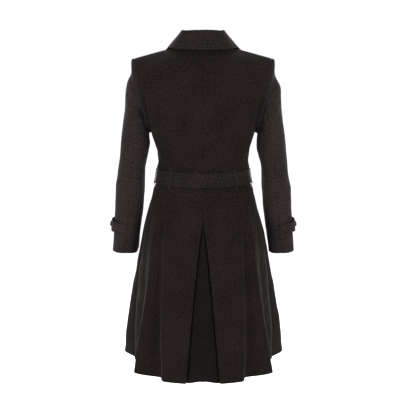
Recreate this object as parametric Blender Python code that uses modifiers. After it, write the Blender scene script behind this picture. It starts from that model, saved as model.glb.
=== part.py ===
"""Double-breasted wool coat, filled out as worn: every piece a closed cloth wall.

Metres, +Z up. The back faces +Y, the front -Y, and the wearer's left is +X.
The origin is the middle of the neck at shoulder level, where the wearer holds the coat up.
"""
import math
from collections import namedtuple

import bmesh
import bpy
import mathutils
import numpy as np

# Cloth and clearances
CLOTH = 0.0022
SEAM = 0.0003
LAY = 0.0005
CUT = SEAM / 2

# Heights of the main levels
HEM_Z = -0.934
FOLD_TOP_Z = -0.430
PLEAT_TOP_Z = -0.487
ARMPIT_Z = -0.248
BELT_LOW_Z = -0.394
BELT_HIGH_Z = -0.354
BREAK_Z = -0.262

# Body outline below the armpit: half the width at the side seams, reach to back and front
Girth = namedtuple("Girth", "height half_width back front")
GIRTHS = (
    Girth(HEM_Z, 0.2275, 0.197, 0.195),
    Girth(-0.840, 0.2215, 0.184, 0.183),
    Girth(-0.760, 0.2130, 0.172, 0.171),
    Girth(-0.685, 0.2020, 0.160, 0.160),
    Girth(-0.611, 0.1900, 0.148, 0.149),
    Girth(-0.538, 0.1775, 0.134, 0.138),
    Girth(-0.465, 0.1595, 0.114, 0.126),
    Girth(-0.429, 0.1495, 0.104, 0.121),
    Girth(BELT_LOW_Z, 0.1388, 0.096, 0.117),
    Girth(BELT_HIGH_Z, 0.1318, 0.094, 0.117),
    Girth(-0.322, 0.1322, 0.099, 0.123),
    Girth(-0.287, 0.1384, 0.107, 0.134),
    Girth(ARMPIT_Z, 0.1490, 0.115, 0.142),
)

# Armhole: an ellipse in a leaning plane, from the shoulder tip down to the armpit
SHOULDER_X = 0.195
SHOULDER_Z = -0.036
ARMPIT_X = GIRTHS[-1].half_width
ARMHOLE_HALF_DEPTH = 0.063

# Body outline above the armpit, by angle round the armhole from the shoulder tip
Chest = namedtuple("Chest", "angle back back_z front front_z turn")
CHEST = (
    Chest(125, 0.1165, -0.196, 0.139, -0.205, 74),
    Chest(85, 0.1110, -0.138, 0.127, -0.155, 60),
    Chest(45, 0.0950, -0.072, 0.104, -0.105, 50),
    Chest(0, 0.0640, -0.006, 0.068, -0.050, 45),
)
CHEST_SPAN = 0.212
TOP = ARMPIT_Z + CHEST_SPAN

# Neck and shoulder seam
NECK_HALF_WIDTH = 0.076
NECK_SIDE_Z = -0.004
NECK_SHARE = 0.40
SHOULDER_SAG = -0.0005
YOKE = 0.085
NECK_CORNER = 0.15

# Skirt folds: place round the body (0 centre back, 1 side seam, 2 centre front) and reach at the hem
Fold = namedtuple("Fold", "at_hem at_top reach")
FOLDS = (
    Fold(0.00, 0.00, 0.013),
    Fold(0.12, 0.14, 0.020),
    Fold(0.305, 0.43, 0.022),
    Fold(0.365, 0.50, -0.001),
    Fold(0.585, 0.62, 0.0190),
    Fold(0.77, 0.77, -0.036),
    Fold(0.97, 0.93, -0.022),
    Fold(1.19, 1.08, 0.026),
    Fold(1.34, 1.30, -0.024),
    Fold(1.50, 1.48, 0.018),
    Fold(1.63, 1.60, -0.006),
    Fold(1.76, 1.74, 0.012),
    Fold(2.00, 2.00, 0.008),
)
FOLD_GROWTH = 1.3

# Princess seam: share of the way from centre back to the side, by height
Seam = namedtuple("Seam", "height share")
PRINCESS = (
    Seam(HEM_Z, 0.345),
    Seam(-0.700, 0.405),
    Seam(-0.538, 0.455),
    Seam(-0.374, 0.465),
    Seam(-0.300, 0.470),
    Seam(ARMPIT_Z, 0.500),
    Seam(ARMPIT_Z + CHEST_SPAN * 30 / 180, 0.610),
    Seam(ARMPIT_Z + CHEST_SPAN * 55 / 180, 0.820),
    Seam(ARMPIT_Z + CHEST_SPAN * 72 / 180, 0.965),
)
PLEAT_HALF_OPEN = 0.044
PLEAT_DEPTH = 0.020
PLEAT_TUCK = 0.030

# Sleeve: rings given by their outer and inner points, middle and half depth
Ring = namedtuple("Ring", "out_x out_z in_x in_z mid_y half_depth")
ROLL = 0.006
SLEEVE = (
    Ring(0.2065, -0.074, 0.1560, -0.2570, -0.001, 0.0640),
    Ring(0.2200, -0.128, 0.1562, -0.2700, -0.002, 0.0645),
    Ring(0.2250, -0.188, 0.1560, -0.2880, -0.003, 0.0640),
    Ring(0.2370, -0.255, 0.1605, -0.3130, -0.002, 0.0620),
    Ring(0.2455, -0.330, 0.1690, -0.3500, 0.000, 0.0600),
    Ring(0.2575, -0.425, 0.1742, -0.4300, -0.010, 0.0565),
    Ring(0.2655, -0.510, 0.1840, -0.5120, -0.026, 0.0535),
    Ring(0.2755, -0.608, 0.1982, -0.6080, -0.048, 0.0510),
)
SLEEVE_BACK_SEAM = 95
SLEEVE_FRONT_SEAM = 245

# Fronts: how far each runs past the centre, and how deep the left one lies under the right one
FRONT_SIDE = 1.000001
OVERLAP = 0.085
UNDER_GAP = 0.0018
UNDER_HEM_GAP = 0.0040
UNDER_FADE = (0.10, 0.27)

# Collar: by share from centre back (0) over the side of the neck (0.5) to the gorge (1)
Collar = namedtuple("Collar", "share stand lean")
COLLAR = (
    Collar(0.00, 0.0465, 0.002),
    Collar(0.25, 0.0450, -0.006),
    Collar(0.50, 0.0440, -0.020),
    Collar(0.75, 0.0250, -0.010),
    Collar(1.00, 0.0110, -0.004),
)
COLLAR_BACK_OUT = 0.017
COLLAR_SIDE_OUT = 0.048
COLLAR_BACK_DROP = 0.053
COLLAR_SIDE_DROP = 0.0475
COLLAR_SIDE_HEADING = 86
COLLAR_SIDE_SPAN = 0.155
COLLAR_GORGE_SPAN = 0.250
COLLAR_CLEAR = 0.0055
COLLAR_WALL = 0.0024
COLLAR_FOLD = 0.0042
COLLAR_SWELL = 0.0012
COLLAR_STEPS = (0, 0.5, 1, 1.25, 1.5, 1.75, 2, 2.5, 3)
GORGE_ANGLE = 22
GORGE_GAP = 0.006

# Lapels: width from the roll line, by share of the way from the break to the gorge
Lapel = namedtuple("Lapel", "share width")
LAPEL = (
    Lapel(0.00, 0.003),
    Lapel(0.25, 0.040),
    Lapel(0.50, 0.068),
    Lapel(0.75, 0.086),
    Lapel(1.00, 0.094),
)
LAPEL_WALL = 0.0030
LAPEL_ROLL = 0.0032
LAPEL_EDGE = 0.0016
LAPEL_DROP = 0.016
LIE = 0.0008

# Belt, its loops and its buckle
BELT_WALL = 0.0030
BELT_START = 1.985
BELT_END = -2.62
BELT_OVER_BAR = 0.0124
LOOP_WALL = 0.0018
LOOP_HALF_WIDTH = 0.005
LOOP_SPARE = 0.009
BUCKLE_WIDTH = 0.050
BUCKLE_HEIGHT = 0.056
BUCKLE_RAIL = 0.006
BUCKLE_BAR = 0.005
BUCKLE_WALL = 0.003
BUCKLE_LIFT = 0.0086

# Cuff tabs: sewn into the back seam of the sleeve, buttoned on its outer side
TAB_Z = -0.527
TAB_FROM = 93
TAB_TO = -46
TAB_SEAM_HALF = 0.012
TAB_END_HALF = 0.020
TAB_WALL = 0.0028
TAB_LOOSE = 0.0052
TAB_BUTTON_ANGLE = -8

# Buttons
BUTTON_WALL = 0.0045
FRONT_BUTTON_RADIUS = 0.0125
CUFF_BUTTON_RADIUS = 0.0095
CUFF_BUTTON_SEAT = 0.0004
BUTTON_COLUMN_X = 0.058
ButtonRow = namedtuple("ButtonRow", "height seat")
BUTTON_ROWS = (
    ButtonRow(-0.266, 0.0004),
    ButtonRow(-0.318, 0.0012),
    ButtonRow(-0.452, 0.0005),
)
BUTTON_SIDES = 14

# Rows and columns of the cloth grids
SKIRT_ROWS = (HEM_Z, -0.850, -0.770, -0.690, -0.610, -0.540, PLEAT_TOP_Z, -0.440)
WAIST_ROWS = (BELT_LOW_Z, -0.374, BELT_HIGH_Z, -0.320, -0.285, ARMPIT_Z)
CHEST_ANGLES = (150, 125, 108, 88, 68, 50, 33, 16, 0)
BACK_COLUMNS = 10
SIDE_COLUMNS = 11
FRONT_COLUMNS = 16

WOOL = (0.020, 0.016, 0.016)
HORN = (0.012, 0.010, 0.009)


def smooth(share):
    """Ease from 0 to 1, flat at both ends."""
    share = np.clip(share, 0.0, 1.0)
    return share * share * (3.0 - 2.0 * share)


def through(knots, rows, place):
    """Cubic curve through the rows of a table, read at any array of places."""
    knots = np.asarray(knots, float)
    rows = np.asarray(rows, float)
    slopes = np.gradient(rows, knots, axis=0)
    place = np.asarray(place, float)
    low = np.clip(np.searchsorted(knots, place, side="right") - 1, 0, len(knots) - 2)
    width = knots[low + 1] - knots[low]
    share = (place - knots[low]) / width
    if rows.ndim == 2:
        share = share[..., None]
        width = width[..., None]
    start = (1 + 2 * share) * (1 - share) ** 2 * rows[low] + share * (1 - share) ** 2 * width * slopes[low]
    end = share ** 2 * (3 - 2 * share) * rows[low + 1] - share ** 2 * (1 - share) * width * slopes[low + 1]
    return start + end


def unit(vectors):
    """Vectors at length one."""
    return vectors / np.linalg.norm(vectors, axis=-1, keepdims=True)


def armhole(angle):
    """Armhole point by angle in degrees: 0 shoulder tip, 90 back, 180 armpit, 270 front."""
    turn = np.radians(angle)
    x = (SHOULDER_X + ARMPIT_X) / 2 + (SHOULDER_X - ARMPIT_X) / 2 * np.cos(turn)
    z = (SHOULDER_Z + ARMPIT_Z) / 2 + (SHOULDER_Z - ARMPIT_Z) / 2 * np.cos(turn)
    return x, ARMHOLE_HALF_DEPTH * np.sin(turn), z


def armhole_angle(height):
    """Angle round the armhole at which a row of the chest ends."""
    return 180.0 * (1.0 - np.clip((height - ARMPIT_Z) / CHEST_SPAN, 0.0, 1.0))


def row_height(angle):
    """Height value of the chest row that ends at this armhole angle."""
    return ARMPIT_Z + CHEST_SPAN * (1.0 - angle / 180.0)


def section_table():
    """All sections from hem to neck: height, width, back, back z, front, front z, turn."""
    low = [(g.height, g.half_width, g.back, g.height, g.front, g.height, 90.0) for g in GIRTHS]
    high = [(row_height(c.angle), ARMPIT_X, c.back, c.back_z, c.front, c.front_z, c.turn) for c in CHEST]
    return np.array(low + high)


SECTIONS = section_table()


def section(share, height, front):
    """Point on a section: an arc from the centre line (share 0) to the side or armhole (share 1)."""
    sizes = through(SECTIONS[:, 0], SECTIONS[:, 1:], height)
    half_width, back, back_z, front_reach, front_z, turn = np.moveaxis(sizes, -1, 0)
    angle = armhole_angle(height)
    arm_x, arm_y, arm_z = armhole(angle)
    above = height > ARMPIT_Z
    side_x = np.where(above, arm_x, half_width)
    side_y = np.where(above, arm_y, 0.0)
    side_z = np.where(above, arm_z, height)
    reach = np.where(front, front_reach, back)
    centre_z = np.where(front, front_z, back_z)
    turn = np.radians(np.minimum(turn, 90.0))
    sweep = share * turn
    bow = (np.cos(sweep) - np.cos(turn)) / (1.0 - np.cos(turn))
    x = side_x * np.sin(sweep) / np.sin(turn)
    y = side_y + (reach - side_y) * bow
    z = side_z + (centre_z - side_z) * bow
    return np.stack([x, np.where(front, -y, y), z], axis=-1)


def top_edge(share, front):
    """Neckline from the centre to the side of the neck, then the shoulder seam to its tip."""
    turn = np.clip(share / NECK_SHARE, 0.0, 1.0) * np.pi / 2
    reach = np.where(front, -CHEST[-1].front, CHEST[-1].back)
    centre_z = np.where(front, CHEST[-1].front_z, CHEST[-1].back_z)
    along = np.clip((share - NECK_SHARE) / (1.0 - NECK_SHARE), 0.0, 1.0)
    x = NECK_HALF_WIDTH * np.sin(turn) + (SHOULDER_X - NECK_HALF_WIDTH) * along
    y = reach * np.cos(turn)
    rise = centre_z + (NECK_SIDE_Z - centre_z) * (1.0 - np.cos(turn))
    z = rise + (SHOULDER_Z - NECK_SIDE_Z) * along - SHOULDER_SAG * np.sin(np.pi * along)
    return np.stack([x, y, z], axis=-1)


def fold_reach(around, height):
    """How far the skirt's folds stand out at a place round the body."""
    drop = np.clip((FOLD_TOP_Z - height) / (FOLD_TOP_Z - HEM_Z), 0.0, 1.0)
    reach = np.full(np.broadcast(around, height).shape, FOLDS[0].reach)
    for one, two in zip(FOLDS, FOLDS[1:]):
        start = one.at_top + (one.at_hem - one.at_top) * drop
        end = two.at_top + (two.at_hem - two.at_top) * drop
        reach = reach + (two.reach - one.reach) * smooth((around - start) / (end - start))
    return reach * drop ** FOLD_GROWTH


def body(around, height):
    """Outer face of the coat's body: 0 centre back, +-1 side seams, +-2 centre front."""
    around, height = np.broadcast_arrays(np.asarray(around, float), np.asarray(height, float))
    around = (around + 2.0) % 4.0 - 2.0
    place = np.abs(around)
    front = place > 1.0
    share = np.where(front, 2.0 - place, place)
    points = section(share, height, front)
    corner = np.exp(-((share - NECK_SHARE) / NECK_CORNER) ** 2)
    lift = np.clip((height - (TOP - YOKE)) / YOKE, 0.0, 1.0) ** (2.2 + 2.5 * corner)
    level = section(share, np.full_like(height, TOP), front)
    points = points + lift[..., None] * (top_edge(share, front) - level)
    plan = points[..., :2] / np.linalg.norm(points[..., :2], axis=-1, keepdims=True)
    points[..., :2] += fold_reach(place, height)[..., None] * plan
    points[..., 0] *= np.where(around < 0, -1.0, 1.0)
    return points


def body_normal(around, height, low, high):
    """Outward direction of the body, taken within a panel's own half above the armpit."""
    step = 0.004
    before = np.where(height > ARMPIT_Z, np.clip(around - step, low, high), around - step)
    after = np.where(height > ARMPIT_Z, np.clip(around + step, low, high), around + step)
    below = np.maximum(height - 0.002, HEM_Z)
    above = np.where(height > ARMPIT_Z, np.minimum(height + 0.002, TOP), np.minimum(height + 0.002, ARMPIT_Z))
    across = body(after, height) - body(before, height)
    up = body(around, above) - body(around, below)
    normal = unit(np.cross(up, across))
    place = np.abs((around + 2.0) % 4.0 - 2.0)
    share = np.where(place > 1.0, 2.0 - place, place)
    on_shoulder = (height > TOP - 1e-6) & (share >= NECK_SHARE - 1e-6)
    slope = np.array([NECK_SIDE_Z - SHOULDER_Z, 0.0, SHOULDER_X - NECK_HALF_WIDTH])
    side = np.where((around + 2.0) % 4.0 - 2.0 < 0, -1.0, 1.0)[..., None]
    shoulder = unit(slope * np.concatenate([side, np.ones_like(side), np.ones_like(side)], axis=-1))
    return np.where(on_shoulder[..., None], shoulder, normal)


def trim(grid, amount=CUT):
    """Pull the four borders of a grid of points inwards, to leave the seam gap."""
    grid = grid.copy()
    for axis in (0, 1):
        rows = np.moveaxis(grid, axis, 0)
        first = rows[0] + unit(rows[1] - rows[0]) * amount
        last = rows[-1] + unit(rows[-2] - rows[-1]) * amount
        rows[0] = first
        rows[-1] = last
    return grid


def material(name, colour, roughness):
    """Principled material, made once for each name."""
    made = bpy.data.materials.get(name)
    if made is None:
        made = bpy.data.materials.new(name)
        made.use_nodes = True
        shader = made.node_tree.nodes["Principled BSDF"]
        shader.inputs["Base Color"].default_value = (*colour, 1.0)
        shader.inputs["Roughness"].default_value = roughness
        shader.inputs["Metallic"].default_value = 0.0
    return made


def add_object(name, shape, look):
    """Put a mesh or curve into the coat's collection under its node name."""
    shape.materials.append(look)
    made = bpy.data.objects.new(name, shape)
    COAT.objects.link(made)
    return made


def wall(name, outer, inner, colour=WOOL, roughness=0.9):
    """Closed wall between two grids of points that match row for row, in flat triangles."""
    rows, columns = outer.shape[:2]
    points = np.concatenate([outer.reshape(-1, 3), inner.reshape(-1, 3)])
    index = np.arange(rows * columns).reshape(rows, columns)
    face = np.stack([index[:-1, :-1], index[:-1, 1:], index[1:, 1:], index[1:, :-1]], axis=-1).reshape(-1, 4)
    back = face[:, ::-1] + rows * columns
    rim = np.concatenate([index[0, :-1], index[:-1, -1], index[-1, :0:-1], index[:0:-1, 0]])
    after = np.roll(rim, -1)
    edge = np.stack([after, rim, rim + rows * columns, after + rows * columns], axis=-1)
    mesh = bpy.data.meshes.new(name)
    mesh.from_pydata(points.tolist(), [], np.concatenate([face, back, edge]).tolist())
    shape = bmesh.new()
    shape.from_mesh(mesh)
    bmesh.ops.recalc_face_normals(shape, faces=shape.faces)
    bmesh.ops.triangulate(shape, faces=shape.faces)
    shape.to_mesh(mesh)
    shape.free()
    return add_object(name, mesh, material(name + "_look", colour, roughness))


def princess(height):
    """Share of the way round the back at which the princess seam runs."""
    return through([s.height for s in PRINCESS], [s.share for s in PRINCESS], height)


def pleat_edge(height):
    """Half the opening of the centre back pleat, as a place round the body."""
    drop = np.clip((PLEAT_TOP_Z - height) / (PLEAT_TOP_Z - HEM_Z), 0.0, 1.0)
    width = through(SECTIONS[:, 0], SECTIONS[:, 1], height)
    return np.arcsin(PLEAT_HALF_OPEN * drop / width) / (np.pi / 2)


def grid_between(low, high, heights, columns):
    """Places round the body and heights of a panel's grid."""
    share = np.linspace(0.0, 1.0, columns + 1)
    around = low[:, None] + (high - low)[:, None] * share[None, :]
    return around, np.broadcast_to(heights[:, None], around.shape)


def panel(name, low, high, heights, columns, half, sink=None):
    """Body panel between two seams; half gives the limits of its own half above the armpit."""
    around, height = grid_between(low, high, heights, columns)
    normal = body_normal(around, height, *half)
    outer = body(around, height)
    if sink is not None:
        outer = outer - sink(around, height)[..., None] * normal
    return wall(name, trim(outer), trim(outer - CLOTH * normal))


def chest_rows(least_angle):
    """Rows above the armpit, up to the one that ends at this armhole angle."""
    return tuple(row_height(angle) for angle in CHEST_ANGLES if angle >= least_angle)


def build_back():
    """Centre back and side back panels, mirrored left and right."""
    whole = np.array(SKIRT_ROWS + WAIST_ROWS + chest_rows(0))
    short = np.array(SKIRT_ROWS + WAIST_ROWS + chest_rows(108))
    for name, side in (("left", 1.0), ("right", -1.0)):
        half = (0.0, 1.0) if side > 0 else (-1.0, 0.0)
        outside = np.where(whole <= short[-1] + 1e-6, princess(np.minimum(whole, short[-1])), 1.0)
        panel("back_" + name, side * pleat_edge(whole), side * outside, whole, BACK_COLUMNS, half)
        side_seam = side * np.ones_like(short)
        panel("side_back_" + name, side * princess(short), side_seam, short, SIDE_COLUMNS, half)


def front_edge(height):
    """Front edge past the centre: straight below the break, the roll line above it."""
    width = through(SECTIONS[:, 0], SECTIONS[:, 1], np.minimum(height, ARMPIT_Z))
    straight = np.arcsin(np.minimum(OVERLAP / width, 1.0)) / (np.pi / 2)
    climb = np.clip((height - BREAK_Z) / (TOP - BREAK_Z), 0.0, 1.0)
    return straight + (-NECK_SHARE - straight) * climb


def under_right_front(around, height):
    """How deep the left front lies where the right front covers it."""
    covered_from = 2.0 - front_edge(height)
    near, far = UNDER_FADE
    drop = np.clip((FOLD_TOP_Z - height) / (FOLD_TOP_Z - HEM_Z), 0.0, 1.0)
    depth = CLOTH + UNDER_GAP + UNDER_HEM_GAP * drop
    return depth * smooth((around - covered_from + far) / (far - near))


def build_fronts():
    """Left front beneath, right front over it."""
    rows = np.array(SKIRT_ROWS + WAIST_ROWS + chest_rows(0))
    edge = front_edge(rows)
    side = np.full_like(rows, FRONT_SIDE)
    panel("front_left", side, 2.0 + edge, rows, FRONT_COLUMNS, (FRONT_SIDE, 2.9), under_right_front)
    panel("front_right", -side, -2.0 - edge, rows, FRONT_COLUMNS, (-2.9, -FRONT_SIDE))


def build_pleat_underlay():
    """Underlay behind the open pleat, deepest along its centre crease."""
    heights = np.array(SKIRT_ROWS[:-1] + (PLEAT_TOP_Z + 0.020,))
    width = through(SECTIONS[:, 0], SECTIONS[:, 1], heights) * np.pi / 2
    drop = np.clip((PLEAT_TOP_Z - heights) / (PLEAT_TOP_Z - HEM_Z), 0.0, 1.0)
    edge = pleat_edge(heights)
    reach = edge + (PLEAT_TUCK * (0.4 + 0.6 * drop)) / width
    around, height = grid_between(-reach, reach, heights, 8)
    normal = body_normal(around, height, -1.0, 1.0)
    inside = 1.0 - np.clip(np.abs(around) / np.maximum(edge, 1e-3)[:, None], 0.0, 1.0)
    sink = CLOTH + LIE + PLEAT_DEPTH * drop[:, None] * inside
    outer = body(around, height) - sink[..., None] * normal
    wall("pleat_underlay", outer, outer - CLOTH * normal)


def sleeve_rings():
    """Sleeve rings from the armhole to the cuff, with the length along their middles."""
    lean = unit(np.array([SHOULDER_X - ARMPIT_X, SHOULDER_Z - ARMPIT_Z]))
    out_x, out_z = np.array([lean[1], -lean[0]]) * ROLL
    first = Ring(SHOULDER_X, SHOULDER_Z, ARMPIT_X, ARMPIT_Z, 0.0, ARMHOLE_HALF_DEPTH)
    outer = (SHOULDER_X + out_x, SHOULDER_Z + out_z)
    inner = (ARMPIT_X + out_x, ARMPIT_Z + out_z)
    second = Ring(*outer, *inner, 0.0, ARMHOLE_HALF_DEPTH)
    rings = np.array((first, second) + SLEEVE)
    middle = (rings[:, 0:2] + rings[:, 2:4]) / 2
    steps = np.hypot(*np.diff(middle, axis=0).T)
    return np.concatenate([[0.0], np.cumsum(steps)]), rings


SLEEVE_ALONG, SLEEVE_RINGS = sleeve_rings()


def sleeve(angle, along):
    """Outer face of the left sleeve: angle 0 outer side, 90 back, 180 inner side, 270 front."""
    angle, along = np.broadcast_arrays(np.radians(np.asarray(angle, float)), np.asarray(along, float))
    sizes = through(SLEEVE_ALONG, SLEEVE_RINGS, along)
    out_x, out_z, in_x, in_z, mid_y, half_depth = np.moveaxis(sizes, -1, 0)
    x = (out_x + in_x) / 2 + (out_x - in_x) / 2 * np.cos(angle)
    z = (out_z + in_z) / 2 + (out_z - in_z) / 2 * np.cos(angle)
    return np.stack([x, mid_y + half_depth * np.sin(angle), z], axis=-1)


def sleeve_normal(angle, along):
    """Outward direction of the left sleeve."""
    after = np.minimum(along + 0.001, SLEEVE_ALONG[-1])
    before = np.maximum(along - 0.001, 0.0)
    down = sleeve(angle, after) - sleeve(angle, before)
    across = sleeve(angle + 1.0, along) - sleeve(angle - 1.0, along)
    return unit(np.cross(down, across))


def sleeve_along(z):
    """Length along the sleeve at which its middle has this height."""
    middle_z = (SLEEVE_RINGS[:, 1] + SLEEVE_RINGS[:, 3]) / 2
    return np.interp(-z, -middle_z, SLEEVE_ALONG)


def flip(points, side):
    """Points for the left side, mirrored for the right one."""
    return points * np.array([side, 1.0, 1.0])


def build_sleeves():
    """Upper and under sleeve on each side."""
    extra = (SLEEVE_ALONG[5:-1] + SLEEVE_ALONG[6:]) / 2
    along = np.sort(np.concatenate([SLEEVE_ALONG, extra]))
    pieces = (("upper_sleeve_", SLEEVE_FRONT_SEAM - 360, SLEEVE_BACK_SEAM, 13),
              ("under_sleeve_", SLEEVE_BACK_SEAM, SLEEVE_FRONT_SEAM, 9))
    for name, start, end, columns in pieces:
        angle, length = np.meshgrid(np.linspace(start, end, columns + 1), along)
        normal = sleeve_normal(angle, length)
        outer = sleeve(angle, length)
        inner = outer - CLOTH * normal
        for side_name, side in (("left", 1.0), ("right", -1.0)):
            wall(name + side_name, flip(trim(outer), side), flip(trim(inner), side))


def collar_neck(share):
    """Neck seam of the left half: along the neckline, then down the roll line to the gorge."""
    back = body(NECK_SHARE * np.minimum(share / 0.5, 1.0), np.full_like(share, TOP))
    descend = np.clip((share - 0.5) / 0.5, 0.0, 1.0)
    height = TOP + (row_height(GORGE_ANGLE) - TOP) * descend
    front = body(2.0 + front_edge(height), height)
    return np.where((share > 0.5)[..., None], front, back)


def collar_guides(share):
    """Neck seam, its up and outward directions, and the fall's edge, on the left half."""
    neck = collar_neck(share)
    back = np.minimum(share / 0.5, 1.0)
    front = np.clip((share - 0.5) / 0.5, 0.0, 1.0)
    heading = np.radians(COLLAR_SIDE_HEADING * back)
    level = np.stack([np.sin(heading), np.cos(heading), np.zeros_like(heading)], axis=-1)
    rise = np.broadcast_to(np.array([0.0, 0.0, 1.0]), level.shape)
    sizes = through([row.share for row in COLLAR], [(row.stand, row.lean) for row in COLLAR], share)
    stand, lean = sizes[..., :1], sizes[..., 1:]
    out = (COLLAR_BACK_OUT + (COLLAR_SIDE_OUT - COLLAR_BACK_OUT) * back ** 2)[..., None]
    drop = (COLLAR_BACK_DROP + (COLLAR_SIDE_DROP - COLLAR_BACK_DROP) * back)[..., None]
    edge_back = neck + (stand - drop) * rise + (lean + out) * level
    height = TOP + (row_height(GORGE_ANGLE) - TOP) * front
    span = COLLAR_SIDE_SPAN + (COLLAR_GORGE_SPAN - COLLAR_SIDE_SPAN) * front
    around = 2.0 + front_edge(height) - span
    edge_front = body(around, height) + COLLAR_CLEAR * body_normal(around, height, FRONT_SIDE, 2.9)
    ease = smooth(front * 6.0)[..., None]
    edge = edge_back + (edge_front - edge_back) * ease
    chest = body_normal(2.0 + front_edge(height), height, FRONT_SIDE, 2.9)
    up = unit(rise + (chest - rise) * ease)
    outward = unit(level + (unit(edge_front - neck) - level) * ease)
    return neck + (LAY + SEAM) * up, up, outward, edge, stand, lean


def collar(share, step):
    """Middle of the collar wall: step 0 to 1 the stand, to 2 the fold's arc, to 3 the fall."""
    neck, up, outward, edge, stand, lean = collar_guides(np.abs(share))
    centre = neck + (stand - COLLAR_FOLD) * up + lean * outward
    reach = np.sum((edge - centre) * outward, axis=-1)
    fall = -np.sum((edge - centre) * up, axis=-1)
    last = np.pi - np.arctan2(reach - COLLAR_FOLD, np.maximum(fall, 0.001))
    turn = (last * np.clip(step - 1.0, 0.0, 1.0))[..., None]
    arc = centre + COLLAR_FOLD * (np.sin(turn) * up - np.cos(turn) * outward)
    rest = np.clip(step - 2.0, 0.0, 1.0)[..., None]
    begin = np.clip(step, 0.0, 1.0)[..., None]
    points = neck + (arc - neck) * begin
    bulge = (COLLAR_SWELL * np.sin(np.pi * rest)) * unit(outward + up)
    points = points + (edge - points) * rest + bulge
    points[..., 0] *= np.where(share < 0, -1.0, 1.0)
    return points


def collar_normal(share, step):
    """Direction out of the collar's visible face."""
    before = np.clip(share - 0.01, -1.0, 1.0)
    after = np.clip(share + 0.01, -1.0, 1.0)
    across = collar(after, step) - collar(before, step)
    along = collar(share, np.minimum(step + 0.02, 3.0)) - collar(share, np.maximum(step - 0.02, 0.0))
    return unit(np.cross(along, across)) * -1.0


def build_collar():
    """Collar: stand, rolled fold and fall, all one wall."""
    share, step = np.meshgrid(np.linspace(-1.0, 1.0, 25), COLLAR_STEPS)
    middle = collar(share, step)
    normal = collar_normal(share, step)
    wall("collar", middle + COLLAR_WALL / 2 * normal, middle - COLLAR_WALL / 2 * normal)


def build_lapels():
    """Lapels lying on the fronts, from the roll line outwards."""
    share = np.linspace(0.0, 1.0, 11)[:, None]
    across = np.linspace(0.0, 1.0, 7)[None, :]
    lean = LAPEL_DROP * across
    height = BREAK_Z + (row_height(GORGE_ANGLE) - GORGE_GAP - lean - BREAK_Z) * share
    edge = front_edge(height)
    width = through([row.share for row in LAPEL], [row.width for row in LAPEL], share)
    unit_length = np.linalg.norm(body(2.02, height) - body(1.98, height), axis=-1) / 0.04
    for name, side in (("left", 1.0), ("right", -1.0)):
        start = 2.0 + edge
        if side > 0:
            start = np.minimum(start, 2.0 - edge - 0.03)
        end = np.minimum(2.0 + edge - width / unit_length, start - 0.01)
        around = start + (end - start) * across
        limits = (FRONT_SIDE, 2.9) if side > 0 else (-2.9, -FRONT_SIDE)
        normal = body_normal(side * around, height, *limits)
        points = body(side * around, height)
        under = LIE + LAPEL_ROLL * np.sqrt(np.sin(np.pi * across)) + LAPEL_EDGE * across
        under = np.broadcast_to(under, points.shape[:2])[..., None]
        wall("lapel_" + name, points + (under + LAPEL_WALL) * normal, points + under * normal)


def belt_offset(around):
    """Clearance under the belt: over the bar at the buckle, then over its own start."""
    past = -2.0 - around
    rise = smooth((past + 0.085) / 0.055)
    fall = smooth((past - 0.030) / 0.055)
    second = LIE + BELT_WALL + LIE
    return LIE + (BELT_OVER_BAR - LIE) * rise - (BELT_OVER_BAR - second) * fall


def build_belt():
    """One strip, from the buckle round the body and over itself to its pointed tip."""
    around = np.concatenate([np.linspace(BELT_START, -1.80, 54), np.linspace(-1.86, -2.14, 18),
                             np.linspace(-2.20, BELT_END, 8)])
    height = np.array([BELT_LOW_Z, (BELT_LOW_Z + BELT_HIGH_Z) / 2, BELT_HIGH_Z])[:, None]
    middle = (BELT_LOW_Z + BELT_HIGH_Z) / 2
    point = np.where(around < BELT_END + 0.05, 0.55, 1.0)[None, :]
    height = middle + (height - middle) * point
    around = np.broadcast_to(around[None, :], height.shape)
    normal = body_normal(around, height, -9.0, 9.0)
    points = body(around, height)
    offset = belt_offset(around)[..., None]
    wall("belt", points + (offset + BELT_WALL) * normal, points + offset * normal)


def build_belt_loops():
    """Loops over the belt at the princess and side seams."""
    high = LIE + BELT_WALL + LIE
    heights = np.array([BELT_LOW_Z - LOOP_SPARE, BELT_LOW_Z - 0.0045, BELT_LOW_Z - 0.0015,
                        BELT_HIGH_Z + 0.0015, BELT_HIGH_Z + 0.0045, BELT_HIGH_Z + LOOP_SPARE])
    offset = np.array([LIE, LIE, high, high, LIE, LIE])[:, None, None]
    for name, place in (("back", float(princess(-0.374))), ("side", 1.0)):
        width = LOOP_HALF_WIDTH / 0.2
        for side_name, side in (("left", 1.0), ("right", -1.0)):
            around, height = np.meshgrid(side * np.linspace(place - width, place + width, 3), heights)
            normal = body_normal(around, height, -9.0, 9.0)
            points = body(around, height)
            outer = points + (offset + LOOP_WALL) * normal
            wall(f"belt_loop_{name}_{side_name}", outer, points + offset * normal)


def rectangle_spline(curve, left, right, low, high):
    """Closed straight-sided outline in a flat curve."""
    spline = curve.splines.new("POLY")
    spline.points.add(3)
    corners = ((left, low), (right, low), (right, high), (left, high))
    for point, (x, y) in zip(spline.points, corners):
        point.co = (x, y, 0.0, 1.0)
    spline.use_cyclic_u = True


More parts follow.
